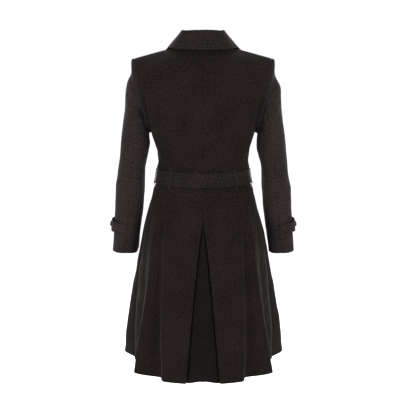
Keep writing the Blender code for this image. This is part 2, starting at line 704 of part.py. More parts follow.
def build_buckle():
    """Flat slide buckle with a middle bar, upright at the centre front."""
    curve = bpy.data.curves.new("belt_buckle", "CURVE")
    curve.dimensions = "2D"
    curve.fill_mode = "BOTH"
    curve.extrude = BUCKLE_WALL / 2
    half_width = BUCKLE_WIDTH / 2
    half_height = BUCKLE_HEIGHT / 2
    rectangle_spline(curve, -half_width, half_width, -half_height, half_height)
    inside = half_height - BUCKLE_RAIL
    rectangle_spline(curve, -half_width + BUCKLE_RAIL, -BUCKLE_BAR / 2, -inside, inside)
    rectangle_spline(curve, BUCKLE_BAR / 2, half_width - BUCKLE_RAIL, -inside, inside)
    made = add_object("belt_buckle", curve, material("belt_buckle_look", HORN, 0.4))
    middle_z = (BELT_LOW_Z + BELT_HIGH_Z) / 2
    front_y = body(2.0, middle_z)[1]
    made.location = (0.0, front_y - BUCKLE_LIFT - BUCKLE_WALL / 2, middle_z)
    made.rotation_euler = (math.radians(90), 0.0, 0.0)


def build_button(name, radius, place, normal, seat):
    """Turned button, seated over a place on the cloth with its face along the normal."""
    profile = ((0.0, 0.0), (0.9, 0.0), (1.0, 0.45), (0.88, 1.0), (0.7, 0.72), (0.0, 0.66))
    mesh = bpy.data.meshes.new(name)
    points = [(share * radius, 0.0, rise * BUTTON_WALL) for share, rise in profile]
    mesh.from_pydata(points, [(i, i + 1) for i in range(len(points) - 1)], [])
    made = add_object(name, mesh, material(name + "_look", HORN, 0.35))
    screw = made.modifiers.new("turn", "SCREW")
    screw.steps = BUTTON_SIDES
    screw.render_steps = BUTTON_SIDES
    screw.use_merge_vertices = True
    screw.merge_threshold = 0.0001
    screw.use_normal_calculate = True
    direction = mathutils.Vector(normal)
    made.location = mathutils.Vector(place) + direction * seat
    made.rotation_euler = direction.to_track_quat("Z", "Y").to_euler()


def build_front_buttons():
    """Two columns of buttons on the right front."""
    number = 0
    for row in BUTTON_ROWS:
        width = float(through(SECTIONS[:, 0], SECTIONS[:, 1], row.height))
        for side in (-1.0, 1.0):
            number += 1
            share = math.asin(BUTTON_COLUMN_X / width) / (math.pi / 2)
            around = np.array(side * (2.0 - share))
            height = np.array(row.height)
            normal = body_normal(around, height, -9.0, 9.0)
            place = body(around, height)
            build_button(f"front_button_{number}", FRONT_BUTTON_RADIUS, place, normal, row.seat)


def tab_offset(angle):
    """Clearance under the tab: tight at the seam and the tip, loose over the outer side."""
    share = (angle - TAB_TO) / (TAB_FROM - TAB_TO)
    return LAY + TAB_LOOSE * np.sin(np.pi * np.clip(share, 0.0, 1.0)) ** 1.5


def build_cuff_tabs():
    """Tabs from the sleeves' back seams to their outer sides, each with a button."""
    angles = np.linspace(TAB_FROM, TAB_TO, 15)
    share = np.linspace(0.0, 1.0, 15)
    half = (TAB_SEAM_HALF + (TAB_END_HALF - TAB_SEAM_HALF) * smooth(share / 0.8))
    half = half * np.where(share > 0.99, 0.25, np.where(share > 0.92, 0.72, 1.0))
    along = sleeve_along(TAB_Z) + np.array([-1.0, 0.0, 1.0])[:, None] * half[None, :]
    angle = np.broadcast_to(angles[None, :], along.shape)
    normal = sleeve_normal(angle, along)
    points = sleeve(angle, along)
    offset = tab_offset(angle)[..., None]
    outer = points + (offset + TAB_WALL) * normal
    inner = points + offset * normal
    spot = np.array([TAB_BUTTON_ANGLE - 8.0, TAB_BUTTON_ANGLE, TAB_BUTTON_ANGLE + 8.0])
    middle = np.full(3, float(sleeve_along(TAB_Z)))
    face = sleeve(spot, middle) + (tab_offset(spot) + TAB_WALL)[:, None] * sleeve_normal(spot, middle)
    down = sleeve(spot[1], middle[1] + 0.01) - sleeve(spot[1], middle[1] - 0.01)
    out = unit(np.cross(down, face[2] - face[0]))
    for name, side in (("left", 1.0), ("right", -1.0)):
        wall("cuff_tab_" + name, flip(outer, side), flip(inner, side))
        place = flip(face[1], side)
        build_button("cuff_button_" + name, CUFF_BUTTON_RADIUS, place, flip(out, side), CUFF_BUTTON_SEAT)


def clear_scene():
    """Empty the file of objects before the coat is built."""
    for old in list(bpy.data.objects):
        bpy.data.objects.remove(old, do_unlink=True)


def coat_collection():
    """Collection that holds the coat's pieces."""
    made = bpy.data.collections.new("double_breasted_coat")
    bpy.context.scene.collection.children.link(made)
    return made


clear_scene()
COAT = coat_collection()
build_back()
build_pleat_underlay()
build_fronts()
build_sleeves()
build_collar()
build_lapels()
build_belt()
build_belt_loops()
build_buckle()
build_front_buttons()
build_cuff_tabs()
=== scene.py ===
"""Looks of a belted double-breasted wool coat, filled out as worn and seen from behind.

Every piece is a surface worked out with arrays from the coat's own sizes: metres, +Z up,
the back faces +Y, the wearer's left is +X, and the origin is the middle of the neck.
"""
import math
from collections import namedtuple

import bpy
import numpy as np
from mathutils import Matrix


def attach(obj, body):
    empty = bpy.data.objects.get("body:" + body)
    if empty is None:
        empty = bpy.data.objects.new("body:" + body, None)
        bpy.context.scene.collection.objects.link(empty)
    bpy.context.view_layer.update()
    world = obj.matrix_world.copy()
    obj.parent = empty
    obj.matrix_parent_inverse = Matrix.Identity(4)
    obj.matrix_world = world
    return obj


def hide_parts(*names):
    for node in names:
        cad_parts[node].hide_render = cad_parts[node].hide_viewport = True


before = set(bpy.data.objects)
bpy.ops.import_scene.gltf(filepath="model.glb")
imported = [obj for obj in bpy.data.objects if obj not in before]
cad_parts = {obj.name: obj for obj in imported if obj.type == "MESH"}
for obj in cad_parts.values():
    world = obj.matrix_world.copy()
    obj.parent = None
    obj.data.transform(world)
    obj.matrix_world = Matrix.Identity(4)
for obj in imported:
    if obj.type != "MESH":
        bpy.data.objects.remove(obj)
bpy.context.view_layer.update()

# Cloth and clearances
CLOTH = 0.0022
RIM = 0.0007
RIM_REACH = 0.40
MAP_SHIFT = 3.7
SEAM = 0.0003
LAY = 0.0005
LIE = 0.0008
TINY = 1e-12
SIDES = (("left", 1.0), ("right", -1.0))

# Shapes of relief: a bell-shaped ridge or groove across a line, and an ease over a length
Ridge = namedtuple("Ridge", "height at width")
Ease = namedtuple("Ease", "start length")

# Heights of the main levels
HEM_Z = -0.934
FOLD_TOP_Z = -0.430
PLEAT_TOP_Z = -0.487
ARMPIT_Z = -0.248
BELT_LOW_Z = -0.394
BELT_HIGH_Z = -0.354
BELT_Z = (BELT_LOW_Z + BELT_HIGH_Z) / 2
BREAK_Z = -0.262

# Body outline below the armpit: half the width at the side seams, reach to back and front
Girth = namedtuple("Girth", "height half_width back front")
GIRTHS = (
    Girth(HEM_Z, 0.2310, 0.197, 0.195),
    Girth(-0.840, 0.2240, 0.184, 0.183),
    Girth(-0.760, 0.2130, 0.172, 0.171),
    Girth(-0.685, 0.2020, 0.160, 0.160),
    Girth(-0.611, 0.1900, 0.148, 0.149),
    Girth(-0.538, 0.1775, 0.134, 0.138),
    Girth(-0.465, 0.1595, 0.114, 0.126),
    Girth(-0.429, 0.1495, 0.104, 0.121),
    Girth(BELT_LOW_Z, 0.1388, 0.096, 0.117),
    Girth(BELT_HIGH_Z, 0.1318, 0.094, 0.117),
    Girth(-0.322, 0.1322, 0.099, 0.123),
    Girth(-0.287, 0.1384, 0.107, 0.134),
    Girth(ARMPIT_Z, 0.1490, 0.115, 0.142),
)

# Armhole, shoulder and neck
SHOULDER_X = 0.195
SHOULDER_Z = -0.036
ARMPIT_X = GIRTHS[-1].half_width
ARMHOLE_HALF_DEPTH = 0.063
NECK_HALF_WIDTH = 0.076
NECK_SIDE_Z = -0.004
NECK_SHARE = 0.40
SHOULDER_SAG = -0.0005
YOKE = 0.085
NECK_CORNER = 0.15
LIFT_POWER = 2.2
LIFT_CORNER_POWER = 2.5
SHOULDER_BAND = 0.006
SHOULDER_EASE = 0.05
QUARTER = 90.0

# Body outline above the armpit, by angle round the armhole from the shoulder tip
Chest = namedtuple("Chest", "angle back back_z front front_z turn")
CHEST = (
    Chest(125, 0.1165, -0.196, 0.139, -0.205, 74),
    Chest(85, 0.1110, -0.138, 0.127, -0.155, 60),
    Chest(45, 0.0950, -0.072, 0.104, -0.105, 50),
    Chest(0, 0.0640, -0.006, 0.068, -0.050, 45),
)
CHEST_SPAN = 0.212
TOP = ARMPIT_Z + CHEST_SPAN

# Skirt folds: place round the body (0 centre back, 1 side seam, 2 centre front), its bow on the
# way down and the reach at the hem
Fold = namedtuple("Fold", "at_hem at_top bow reach")
FOLDS = (
    Fold(0.00, 0.00, 0.00, 0.013),
    Fold(0.12, 0.14, 0.00, 0.020),
    Fold(0.285, 0.41, 0.00, 0.022),
    Fold(0.365, 0.50, 0.00, -0.001),
    Fold(0.585, 0.62, -0.06, 0.0190),
    Fold(0.77, 0.77, -0.03, -0.036),
    Fold(0.97, 0.93, 0.00, -0.022),
    Fold(1.19, 1.08, 0.00, 0.026),
    Fold(1.34, 1.30, 0.00, -0.024),
    Fold(1.50, 1.48, 0.00, 0.018),
    Fold(1.63, 1.60, 0.00, -0.006),
    Fold(1.76, 1.74, 0.00, 0.012),
    Fold(2.00, 2.00, 0.00, 0.008),
)
FOLD_GROWTH = 1.3

# Princess seam: share of the way from centre back to the side, by height
Seam = namedtuple("Seam", "height share")
PRINCESS = (
    Seam(HEM_Z, 0.345),
    Seam(-0.700, 0.405),
    Seam(-0.538, 0.455),
    Seam(-0.374, 0.465),
    Seam(-0.300, 0.470),
    Seam(ARMPIT_Z, 0.500),
    Seam(ARMPIT_Z + CHEST_SPAN * 30 / 180, 0.610),
    Seam(ARMPIT_Z + CHEST_SPAN * 55 / 180, 0.820),
    Seam(ARMPIT_Z + CHEST_SPAN * 72 / 180, 0.965),
)
PRINCESS_END = 108
PRINCESS_END_ROWS = (-0.0006, 0.0002)

# Centre back pleat: half its opening at the hem, its underlay's sink, groove at the edges and ridge
PLEAT_HALF_OPEN = 0.044
PLEAT_DEPTH = 0.016
PLEAT_STEP = 0.006
PLEAT_TUCK = 0.030
PLEAT_TUCK_TOP = 0.4
PLEAT_TUCK_UP = 0.020
PLEAT_LEAST = 1e-3
PLEAT_COLUMNS = 97
PLEAT_BOW = 0.74
PLEAT_GROOVE = 0.010
PLEAT_GROOVE_WIDTH = 0.0030
PLEAT_GROOVE_FADE = 0.5
PLEAT_RIDGE = 0.0055
PLEAT_RIDGE_WIDTH = 0.0036

# Creases of the body: a soft line from (at, height), by run round and drop down, bowed by bend
# side 1 is the wearer's left, -1 the right, 0 both; a trough has a negative depth
Crease = namedtuple("Crease", "side at height run drop bend width depth")
BODY_CREASES = (
    Crease(0, 0.940, -0.128, 0.020, -0.090, 0.004, 0.0085, -0.0052),
    Crease(1, 0.860, -0.185, -0.230, -0.040, 0.006, 0.0100, -0.0020),
    Crease(-1, 0.850, -0.176, -0.280, -0.052, 0.005, 0.0110, -0.0018),
    Crease(1, 0.760, -0.150, -0.300, -0.012, -0.006, 0.0140, 0.0013),
    Crease(-1, 0.800, -0.142, -0.260, -0.020, -0.005, 0.0130, 0.0014),
    Crease(0, 0.000, -0.090, 0.000, -0.230, 0.000, 0.0300, -0.0032),
    Crease(1, 0.080, -0.318, 0.460, -0.012, 0.004, 0.0110, 0.0019),
    Crease(-1, 0.150, -0.312, 0.420, 0.004, 0.005, 0.0120, 0.0016),
    Crease(1, 0.520, -0.302, 0.340, 0.016, -0.004, 0.0130, 0.0015),
    Crease(-1, 0.600, -0.310, 0.300, 0.012, -0.003, 0.0100, 0.0018),
    Crease(1, 0.860, -0.292, 0.340, -0.020, 0.003, 0.0090, -0.0019),
    Crease(-1, 0.900, -0.284, 0.300, -0.028, 0.003, 0.0100, -0.0017),
    Crease(0, 0.000, -0.052, 0.330, 0.004, -0.003, 0.0090, -0.0010),
    Crease(0, 0.615, -0.445, -0.030, -0.489, 0.012, 0.0034, 0.0050),
    Crease(0, 0.490, -0.470, -0.120, -0.464, 0.000, 0.0065, -0.0042),
    Crease(1, 0.240, -0.700, -0.030, -0.230, 0.006, 0.0160, 0.0022),
    Crease(-1, 0.215, -0.660, -0.020, -0.270, -0.005, 0.0180, 0.0020),
    Crease(1, 0.300, -0.560, -0.030, -0.160, 0.004, 0.0140, -0.0014),
    Crease(-1, 0.330, -0.540, -0.050, -0.190, 0.004, 0.0150, -0.0015),
    Crease(1, 0.690, -0.640, 0.010, -0.290, 0.004, 0.0150, -0.0010),
    Crease(-1, 0.680, -0.610, 0.015, -0.320, -0.003, 0.0160, -0.0012),
    Crease(1, 0.880, -0.520, 0.010, -0.350, 0.008, 0.0170, 0.0010),
    Crease(-1, 0.900, -0.560, -0.010, -0.330, 0.006, 0.0160, 0.0012),
    Crease(1, 1.260, -0.560, 0.020, -0.370, 0.004, 0.0140, -0.0034),
    Crease(-1, 1.280, -0.520, 0.010, -0.410, -0.005, 0.0150, -0.0030),
    Crease(1, 1.420, -0.600, 0.010, -0.330, -0.004, 0.0120, 0.0032),
    Crease(-1, 1.400, -0.640, 0.015, -0.290, 0.003, 0.0130, 0.0028),
    Crease(0, 1.700, -0.520, 0.020, -0.410, 0.004, 0.0160, 0.0022),
    Crease(1, 1.620, -0.205, 0.240, -0.050, 0.004, 0.0110, -0.0018),
    Crease(-1, 1.600, -0.190, 0.250, -0.066, 0.004, 0.0120, -0.0020),
    Crease(1, 1.120, -0.205, 0.200, -0.050, 0.006, 0.0100, -0.0024),
    Crease(-1, 1.130, -0.196, 0.220, -0.058, 0.005, 0.0110, -0.0022),
    Crease(1, 1.340, -0.300, 0.420, 0.010, 0.004, 0.0120, 0.0014),
    Crease(-1, 1.300, -0.306, 0.480, 0.016, 0.004, 0.0110, 0.0013),
)
AROUND_SPAN = 0.20
CREASE_PAST = 0.12
CREASE_EASE = 0.34

# Short puckers where the belt draws the waist in: place round the body, lengths and depth
Pucker = namedtuple("Pucker", "at above below depth")
PUCKERS = (
    Pucker(0.090, 0.030, 0.022, -0.00192),
    Pucker(0.190, 0.046, 0.034, -0.00256),
    Pucker(0.330, 0.026, 0.040, -0.00208),
    Pucker(0.560, 0.052, 0.030, -0.00304),
    Pucker(0.660, 0.034, 0.048, -0.00224),
    Pucker(0.790, 0.058, 0.036, -0.00320),
    Pucker(0.900, 0.040, 0.026, -0.00240),
    Pucker(1.090, 0.050, 0.044, -0.00304),
    Pucker(1.230, 0.032, 0.030, -0.00224),
    Pucker(1.420, 0.044, 0.052, -0.00272),
    Pucker(1.600, 0.028, 0.034, -0.00192),
)
PUCKER_WIDTH = 0.0062
PUCKER_JOG = -0.034
PUCKER_RISE = 0.25

# Relief beside the belt: a valley and a swell past its edge, the whole below it and a share above
BELT_MARGIN = 0.004
BELT_FADE = 0.012
BELT_SIDES = ((BELT_HIGH_Z, 1.0, 0.2), (BELT_LOW_Z, -1.0, 1.0))
BELT_VALLEY = Ridge(-0.0018, 0.001, 0.0042)
BELT_SWELL = Ridge(0.0016, 0.016, 0.0075)

# Side seams: the cloth's swell just above the belt, in a band round the seam; the relief's limits
WAIST_SWELL = 0.0042
WAIST_SWELL_RISE = 0.004
WAIST_SWELL_REACH = 0.011
WAIST_SWELL_BAND = 0.16
ARMHOLE_EASE = 0.010
CHEST_EASE = 0.020
TOP_FADE = 0.030

# Unevenness of steamed wool: waves by length across and up, with their height
Wave = namedtuple("Wave", "across up shift height")
STEAM = (
    Wave(0.160, 0.240, 0.0, 0.00055),
    Wave(-0.094, 0.130, 1.9, 0.00045),
    Wave(0.063, -0.088, 4.1, 0.00035),
    Wave(-0.041, -0.057, 2.6, 0.00022),
)

# Sleeve: rings given by their outer and inner points, middle and half depth
Ring = namedtuple("Ring", "out_x out_z in_x in_z mid_y half_depth")
ROLL = 0.006
SLEEVE = (
    Ring(0.2042, -0.080, 0.1560, -0.2570, -0.001, 0.0640),
    Ring(0.2215, -0.128, 0.1562, -0.2700, -0.002, 0.0645),
    Ring(0.2268, -0.188, 0.1560, -0.2880, -0.003, 0.0640),
    Ring(0.2370, -0.255, 0.1605, -0.3130, -0.002, 0.0620),
    Ring(0.2455, -0.330, 0.1690, -0.3500, 0.000, 0.0600),
    Ring(0.2575, -0.425, 0.1742, -0.4300, -0.010, 0.0565),
    Ring(0.2655, -0.510, 0.1840, -0.5120, -0.026, 0.0535),
    Ring(0.2755, -0.608, 0.1982, -0.6080, -0.048, 0.0510),
)
SLEEVE_TUCK = 0.0010
SLEEVE_SEAM_DIP = 0.0011
SLEEVE_SEAM_SHARE = 0.15
SLEEVE_PRESS = 0.0045
SLEEVE_PRESS_EASE = Ease(0.10, 0.14)
CUFF_PRESS = 0.6
CUFF_PRESS_EASE = Ease(0.34, 0.16)
SLEEVE_BACK_SEAM = 95
SLEEVE_FRONT_SEAM = 245

# Creases of the left sleeve: from (angle, along), by turn in degrees and run along it
Drag = namedtuple("Drag", "angle along turn run bend width depth")
SLEEVE_CREASES = (
    Drag(22, 0.074, 98, -0.044, 0.004, 0.0085, -0.0044),
    Drag(30, 0.099, 95, -0.047, 0.004, 0.0078, -0.0028),
    Drag(-15, 0.048, 90, -0.006, 0.003, 0.0130, 0.0044),
    Drag(44, 0.078, 66, -0.034, 0.003, 0.0060, 0.0026),
    Drag(117, 0.004, 14, 0.042, 0.002, 0.0100, -0.0048),
    Drag(109, 0.006, 15, 0.040, 0.002, 0.0048, -0.0022),
    Drag(88, 0.060, 34, -0.030, 0.002, 0.0070, 0.0022),
    Drag(150, 0.205, -84, 0.024, 0.005, 0.0100, -0.0028),
    Drag(166, 0.238, -96, -0.012, 0.004, 0.0085, -0.0024),
    Drag(72, 0.250, -80, 0.026, -0.004, 0.0130, 0.0018),
    Drag(250, 0.170, 82, 0.040, 0.006, 0.0100, -0.0034),
    Drag(242, 0.222, 92, -0.018, -0.004, 0.0085, -0.0030),
    Drag(256, 0.262, 70, 0.022, 0.003, 0.0090, -0.0022),
    Drag(268, 0.060, 50, 0.046, 0.004, 0.0100, -0.0030),
    Drag(96, 0.330, -72, 0.034, 0.005, 0.0140, -0.0016),
    Drag(140, 0.385, -60, -0.022, 0.003, 0.0110, -0.0013),
    Drag(20, 0.300, 60, 0.030, 0.003, 0.0150, 0.0013),
)
SLEEVE_JOG = Drag(5, 0.008, 0, 0.004, 0.0, 0.001, 0.0)
DEGREE_SPAN = 0.00085
SLEEVE_CUT = 120.0
STEAM_JOG = 0.3
HEAD_EASE = Ease(0.002, 0.010)

# Ease puckers round the sleeve's head, and the painted shade that darkens the head's colour
EASE_WAVES = 23
EASE_WANDER = 1.3
EASE_WANDER_WAVES = 5.0
EASE_PUCKER = Ridge(0.0006, 0.012, 0.009)
EASE_MIDDLE = 10.0
EASE_HALF = 140.0
EASE_FADE = 60.0
HEAD_PAINTED_SHADE = 0.72

# Fronts
FRONT_SIDE = 1.000001
FRONT_END = 2.9
FRONT_LIMITS = {1.0: (FRONT_SIDE, FRONT_END), -1.0: (-FRONT_END, -FRONT_SIDE)}
OVERLAP = 0.085
UNDER_GAP = 0.0018
UNDER_HEM_GAP = 0.0040
UNDER_FADE = (0.10, 0.27)

# Collar: by share from centre back (0) over the side of the neck (COLLAR_SIDE) to the gorge (1)
COLLAR_SIDE = 0.5
Collar = namedtuple("Collar", "share stand lean")
COLLAR = (
    Collar(0.00, 0.0465, 0.002),
    Collar(0.25, 0.0450, -0.006),
    Collar(0.50, 0.0440, -0.020),
    Collar(0.75, 0.0250, -0.010),
    Collar(1.00, 0.0110, -0.004),
)
COLLAR_BACK_OUT = 0.017
COLLAR_SIDE_OUT = 0.0455
COLLAR_BACK_DROP = 0.053
COLLAR_SIDE_DROP = 0.0475
COLLAR_SIDE_HEADING = 86
COLLAR_SIDE_SPAN = 0.155
COLLAR_GORGE_SPAN = 0.250
COLLAR_CLEAR = 0.0055
COLLAR_WALL = 0.0024
COLLAR_FOLD = 0.0042
COLLAR_SWELL = 0.0012
COLLAR_EASE = 6.0
COLLAR_LEAST_FALL = 0.001
COLLAR_STEAM = 0.4
COLLAR_STEAM_ACROSS = 0.3
COLLAR_STEAM_UP = 0.05
COLLAR_STITCH = 2.88
COLLAR_GROOVE = Ridge(-0.0005, COLLAR_STITCH, 0.03)
GORGE_ANGLE = 22
GORGE_GAP = 0.0008

# Lapels: width from the roll line, by share of the way from the break to the gorge
Lapel = namedtuple("Lapel", "share width")
LAPEL = (
    Lapel(0.00, 0.003),
    Lapel(0.25, 0.040),
    Lapel(0.50, 0.068),
    Lapel(0.75, 0.086),
    Lapel(1.00, 0.094),
)
LAPEL_WALL = 0.0030
LAPEL_ROLL = 0.0032
LAPEL_EDGE = 0.0016
LAPEL_DROP = 0.020
LAPEL_LEAST = 0.01
NOTCH_FROM = 0.38
COVER_GAP = 0.014
COVER_EASE = 0.03
LAPEL_STITCH = 0.93
GORGE_STITCH = 0.965

# Belt, its loops and its buckle
BELT_WALL = 0.0030
BELT_START = 1.985
BELT_END = -2.62
BELT_OVER_BAR = 0.0124
OVER_BELT = LIE + BELT_WALL + LIE
BELT_RISE = Ease(-0.085, 0.055)
BELT_FALL = Ease(0.030, 0.055)
BELT_TAPER = 0.5
BELT_TAPER_LENGTH = 0.10
BELT_STITCH = 0.84
BELT_GROOVE = Ridge(-0.0006, BELT_STITCH, 0.035)
BELT_BEAD = Ridge(0.0007, 0.93, 0.05)
LOOP_WALL = 0.0018
LOOP_HALF_WIDTH = 0.005
LOOP_SPARE = 0.009
LOOP_EASE_AT = 0.0046
LOOP_EASE = 0.0032
LOOP_ROUND = 0.0005
BUCKLE_WIDTH = 0.050
BUCKLE_HEIGHT = 0.056
BUCKLE_RAIL = 0.006
BUCKLE_BAR = 0.005
BUCKLE_WALL = 0.003
BUCKLE_LIFT = 0.0086
BUCKLE_CORNER = 0.28
BUCKLE_SOFT = 0.6
BUCKLE_BAR_FLAT = 0.9
BUCKLE_SIDES = 16

# Cuff tabs
TAB_Z = -0.527
TAB_FROM = 93
TAB_TO = -46
TAB_SEAM_HALF = 0.012
TAB_END_HALF = 0.020
TAB_WALL = 0.0028
TAB_LOOSE = 0.0052
TAB_LOOSE_POWER = 1.5
TAB_WIDE_AT = 0.8
TAB_TIP_AT = 0.86
TAB_TIP = 0.145
TAB_STITCH = 0.78
TAB_GROOVE = Ridge(-0.0005, TAB_STITCH, 0.05)
TAB_ROUND = 0.0004
TAB_BUTTON_ANGLE = -8
TAB_BUTTON_SPAN = 8.0

# Buttons
BUTTON_WALL = 0.0045
BUTTON_FACE = 0.66
BUTTON_FACE_ROW = 9
BUTTON_PROFILE = (
    (0.03, 0.02), (0.4, 0.0), (0.8, 0.0), (0.93, 0.10), (1.0, 0.42), (0.99, 0.66), (0.95, 0.88),
    (0.88, 1.0), (0.81, 0.96), (0.75, 0.8), (0.7, 0.7), (0.62, 0.67), (0.54, 0.66), (0.47, 0.655),
    (0.4, 0.65), (0.34, 0.65), (0.28, 0.65), (0.22, 0.65), (0.16, 0.65), (0.1, 0.65), (0.04, 0.65),
)
HOLE_AT = 0.24
HOLE_WIDTH = 0.085
HOLE_DEPTH = 0.42
THREAD_RADIUS = 0.00055
THREAD_LIFT = 0.0004
THREAD_SINK = 0.0012
THREAD_ROUND = 0.12
THREAD_POWER = 0.3
THREAD_SIDES = 8
FRONT_BUTTON_RADIUS = 0.0125
CUFF_BUTTON_RADIUS = 0.0095
CUFF_BUTTON_SEAT = 0.0004
BUTTON_COLUMN_X = 0.058
ButtonRow = namedtuple("ButtonRow", "height seat")
BUTTON_ROWS = (
    ButtonRow(-0.266, 0.0004),
    ButtonRow(-0.318, 0.0012),
    ButtonRow(-0.452, 0.0005),
)

# Stitching
STITCH_PITCH = 0.0046
STITCH_LENGTH = 0.0034
STITCH_RADIUS = 0.00034
STITCH_ARCH = 0.9
STITCH_THICK = (0.35, 0.9, 1.0, 0.9, 0.35)
STITCH_CORNERS = (45.0, 135.0, 225.0, 315.0)
STITCH_SINK = 0.0005
COLLAR_STITCH_SINK = 0.0003
LAPEL_STITCH_SINK = 0.0002

# Grid spacing, in rows and columns and beside the edges, and the steps that slopes are taken over
FINE = 0.0052
FINE_ACROSS = 0.0031
LEAST_COLUMNS = 8
SLEEVE_FINER_ROWS = 1.25
SLEEVE_FINER_COLUMNS = 1.3
SEAM_STEPS = (RIM, 0.0022, 0.0038, 0.0066)
SEAM_ROOM = 0.4
LOW_ROWS = np.array([RIM, 0.0026, 0.0045])
HIGH_ROWS = np.array([0.0026, RIM])
LOW_START = 0.007
HIGH_START = 0.005
HEAD_ROWS = np.array([-SLEEVE_TUCK, 0.0008, 0.0022, 0.004])
HEAD_START = 0.0065
TOP_ROWS = 0.0045
TOP_STEP = 0.0005
AROUND_STEP = 0.004
HEIGHT_STEP = 0.002
SPEED_STEP = 0.01
ALONG_STEP = 0.001
SHARE_STEP = 0.01
FOLD_STEP = 0.02

# Dips along the seams
SEAM_DIP = 0.0006
SKIRT_DIP = 3.0
SEAM_DIP_WIDTH = 0.0032

# Camera and studio
CAMERA_Y = 2.415
CAMERA_X = -0.0141
CAMERA_Z = -0.0105
CAMERA_TILT = 10.8
CAMERA_LENS = 72.05
FLOOR_Z = -1.42
SIDE_LIGHT = 25.0
FILL_LIGHT = 30.0
TOP_LIGHT = 9.0
FLOOR_REACH = 14.0

# Tones of the wool, dark and light: the body's own; lighter copies for the trim and for the
# sleeves and tabs, as painted light; a darker copy for the pleat underlay, as painted shade; and
# the length over which the painted shade on the sleeve's head fades
BODY_TONES = ((0.0020, 0.0013, 0.0012), (0.0110, 0.0077, 0.0074))
# Trim (collar, belt and loops): painted light, a lighter copy of the same wool
LIT_TRIM_TONES = ((0.0027, 0.0019, 0.0019), (0.0148, 0.0108, 0.0110))
# Sleeves and tabs: painted light, a lighter copy of the same wool for the light falling on the
# sleeves
LIT_SLEEVE_TONES = ((0.0040, 0.0028, 0.0029), (0.0206, 0.0155, 0.0158))
# Pleat underlay: painted shade, a darker copy of the same wool for its recess behind the pleat
SHADED_PLEAT_TONES = ((0.0013, 0.0008, 0.0008), (0.0078, 0.0055, 0.0053))
HEAD_SHADE_LENGTH = 0.085


def limit(share):
    """Share kept within 0 to 1."""
    return np.clip(share, 0.0, 1.0)


def bell(distance, width):
    """Bell curve: e to the power of -(distance / width)^2."""
    return np.exp(-(distance / width) ** 2)


def ridge(shape, place):
    """Height of a ridge, or of a groove below 0, at this place: its height times its bell."""
    return shape.height * bell(place - shape.at, shape.width)


def arch(share):
    """Parabola 4s(1 - s): 0 at both ends and 1 in the middle."""
    return 4.0 * share * (1.0 - share)


def running(steps):
    """Running total of the steps, from 0."""
    return np.concatenate([[0.0], np.cumsum(steps)])


def lengths(points, axis=0):
    """Lengths of the steps between neighbouring points."""
    return np.linalg.norm(np.diff(points, axis=axis), axis=-1)


def drop_below(top, height):
    """Share of the way from a level down to the hem."""
    return limit((top - height) / (top - HEM_Z))


def smooth(share):
    """Ease from 0 to 1: 3s^2 - 2s^3, flat at both ends."""
    share = limit(share)
    return share * share * (3.0 - 2.0 * share)


def eased(shape, value):
    """Ease from 0 to 1 from its start over its length."""
    return smooth((value - shape.start) / shape.length)


def through(knots, rows, place):
    """Cubic Hermite curve through a table's rows, with their central differences as slopes."""
    knots = np.asarray(knots, float)
    rows = np.asarray(rows, float)
    slopes = np.gradient(rows, knots, axis=0)
    place = np.asarray(place, float)
    low = np.clip(np.searchsorted(knots, place, side="right") - 1, 0, len(knots) - 2)
    width = knots[low + 1] - knots[low]
    share = (place - knots[low]) / width
    if rows.ndim == 2:
        share = share[..., None]
        width = width[..., None]
    rest, high = 1 - share, low + 1
    start = (1 + 2 * share) * rest ** 2 * rows[low] + share * rest ** 2 * width * slopes[low]
    end = share ** 2 * (3 - 2 * share) * rows[high] - share ** 2 * rest * width * slopes[high]
    return start + end


def unit(vectors):
    """Vectors divided by their lengths."""
    return vectors / np.maximum(np.linalg.norm(vectors, axis=-1, keepdims=True), TINY)


def armhole(angle):
    """Armhole ellipse: x and z follow the cosine of the angle from the shoulder tip, y its sine."""
    turn = np.radians(angle)
    x = (SHOULDER_X + ARMPIT_X) / 2 + (SHOULDER_X - ARMPIT_X) / 2 * np.cos(turn)
    z = (SHOULDER_Z + ARMPIT_Z) / 2 + (SHOULDER_Z - ARMPIT_Z) / 2 * np.cos(turn)
    return x, ARMHOLE_HALF_DEPTH * np.sin(turn), z


def armhole_angle(height):
    """Angle round the armhole at which a row ends, in proportion to its height above the armpit."""
    return 180.0 * (1.0 - limit((height - ARMPIT_Z) / CHEST_SPAN))


def row_height(angle):
    """Height of the row that ends at this armhole angle, the reverse of armhole_angle."""
    return ARMPIT_Z + CHEST_SPAN * (1.0 - angle / 180.0)


def section_table():
    """All sections from hem to neck: height, width, back, back z, front, front z and turn."""
    low = [(g.height, g.half_width, g.back, g.height, g.front, g.height, QUARTER) for g in GIRTHS]
    high = [(row_height(c.angle), ARMPIT_X, *c[1:]) for c in CHEST]
    return np.array(low + high)


SECTIONS = section_table()


def half_width(height):
    """Half the body's width at the side seams, read from the sections."""
    return through(SECTIONS[:, 0], SECTIONS[:, 1], height)


def section(share, height, front):
    """Arc of an ellipse from the centre line (share 0) to the side or the armhole (share 1).

    x is the side's x times sin(share * turn) / sin(turn); y and z go from the side's to the
    centre's values by (cos(share * turn) - cos(turn)) / (1 - cos(turn)).
    """
    sizes = through(SECTIONS[:, 0], SECTIONS[:, 1:], height)
    wide, back, back_z, front_reach, front_z, turn = np.moveaxis(sizes, -1, 0)
    arm_x, arm_y, arm_z = armhole(armhole_angle(height))
    above = height > ARMPIT_Z
    side_x = np.where(above, arm_x, wide)
    side_y = np.where(above, arm_y, 0.0)
    side_z = np.where(above, arm_z, height)
    reach = np.where(front, front_reach, back)
    centre_z = np.where(front, front_z, back_z)
    turn = np.radians(np.minimum(turn, QUARTER))
    sweep = share * turn
    bow = (np.cos(sweep) - np.cos(turn)) / (1.0 - np.cos(turn))
    x = side_x * np.sin(sweep) / np.sin(turn)
    y = side_y + (reach - side_y) * bow
    z = side_z + (centre_z - side_z) * bow
    return np.stack([x, np.where(front, -y, y), z], axis=-1)


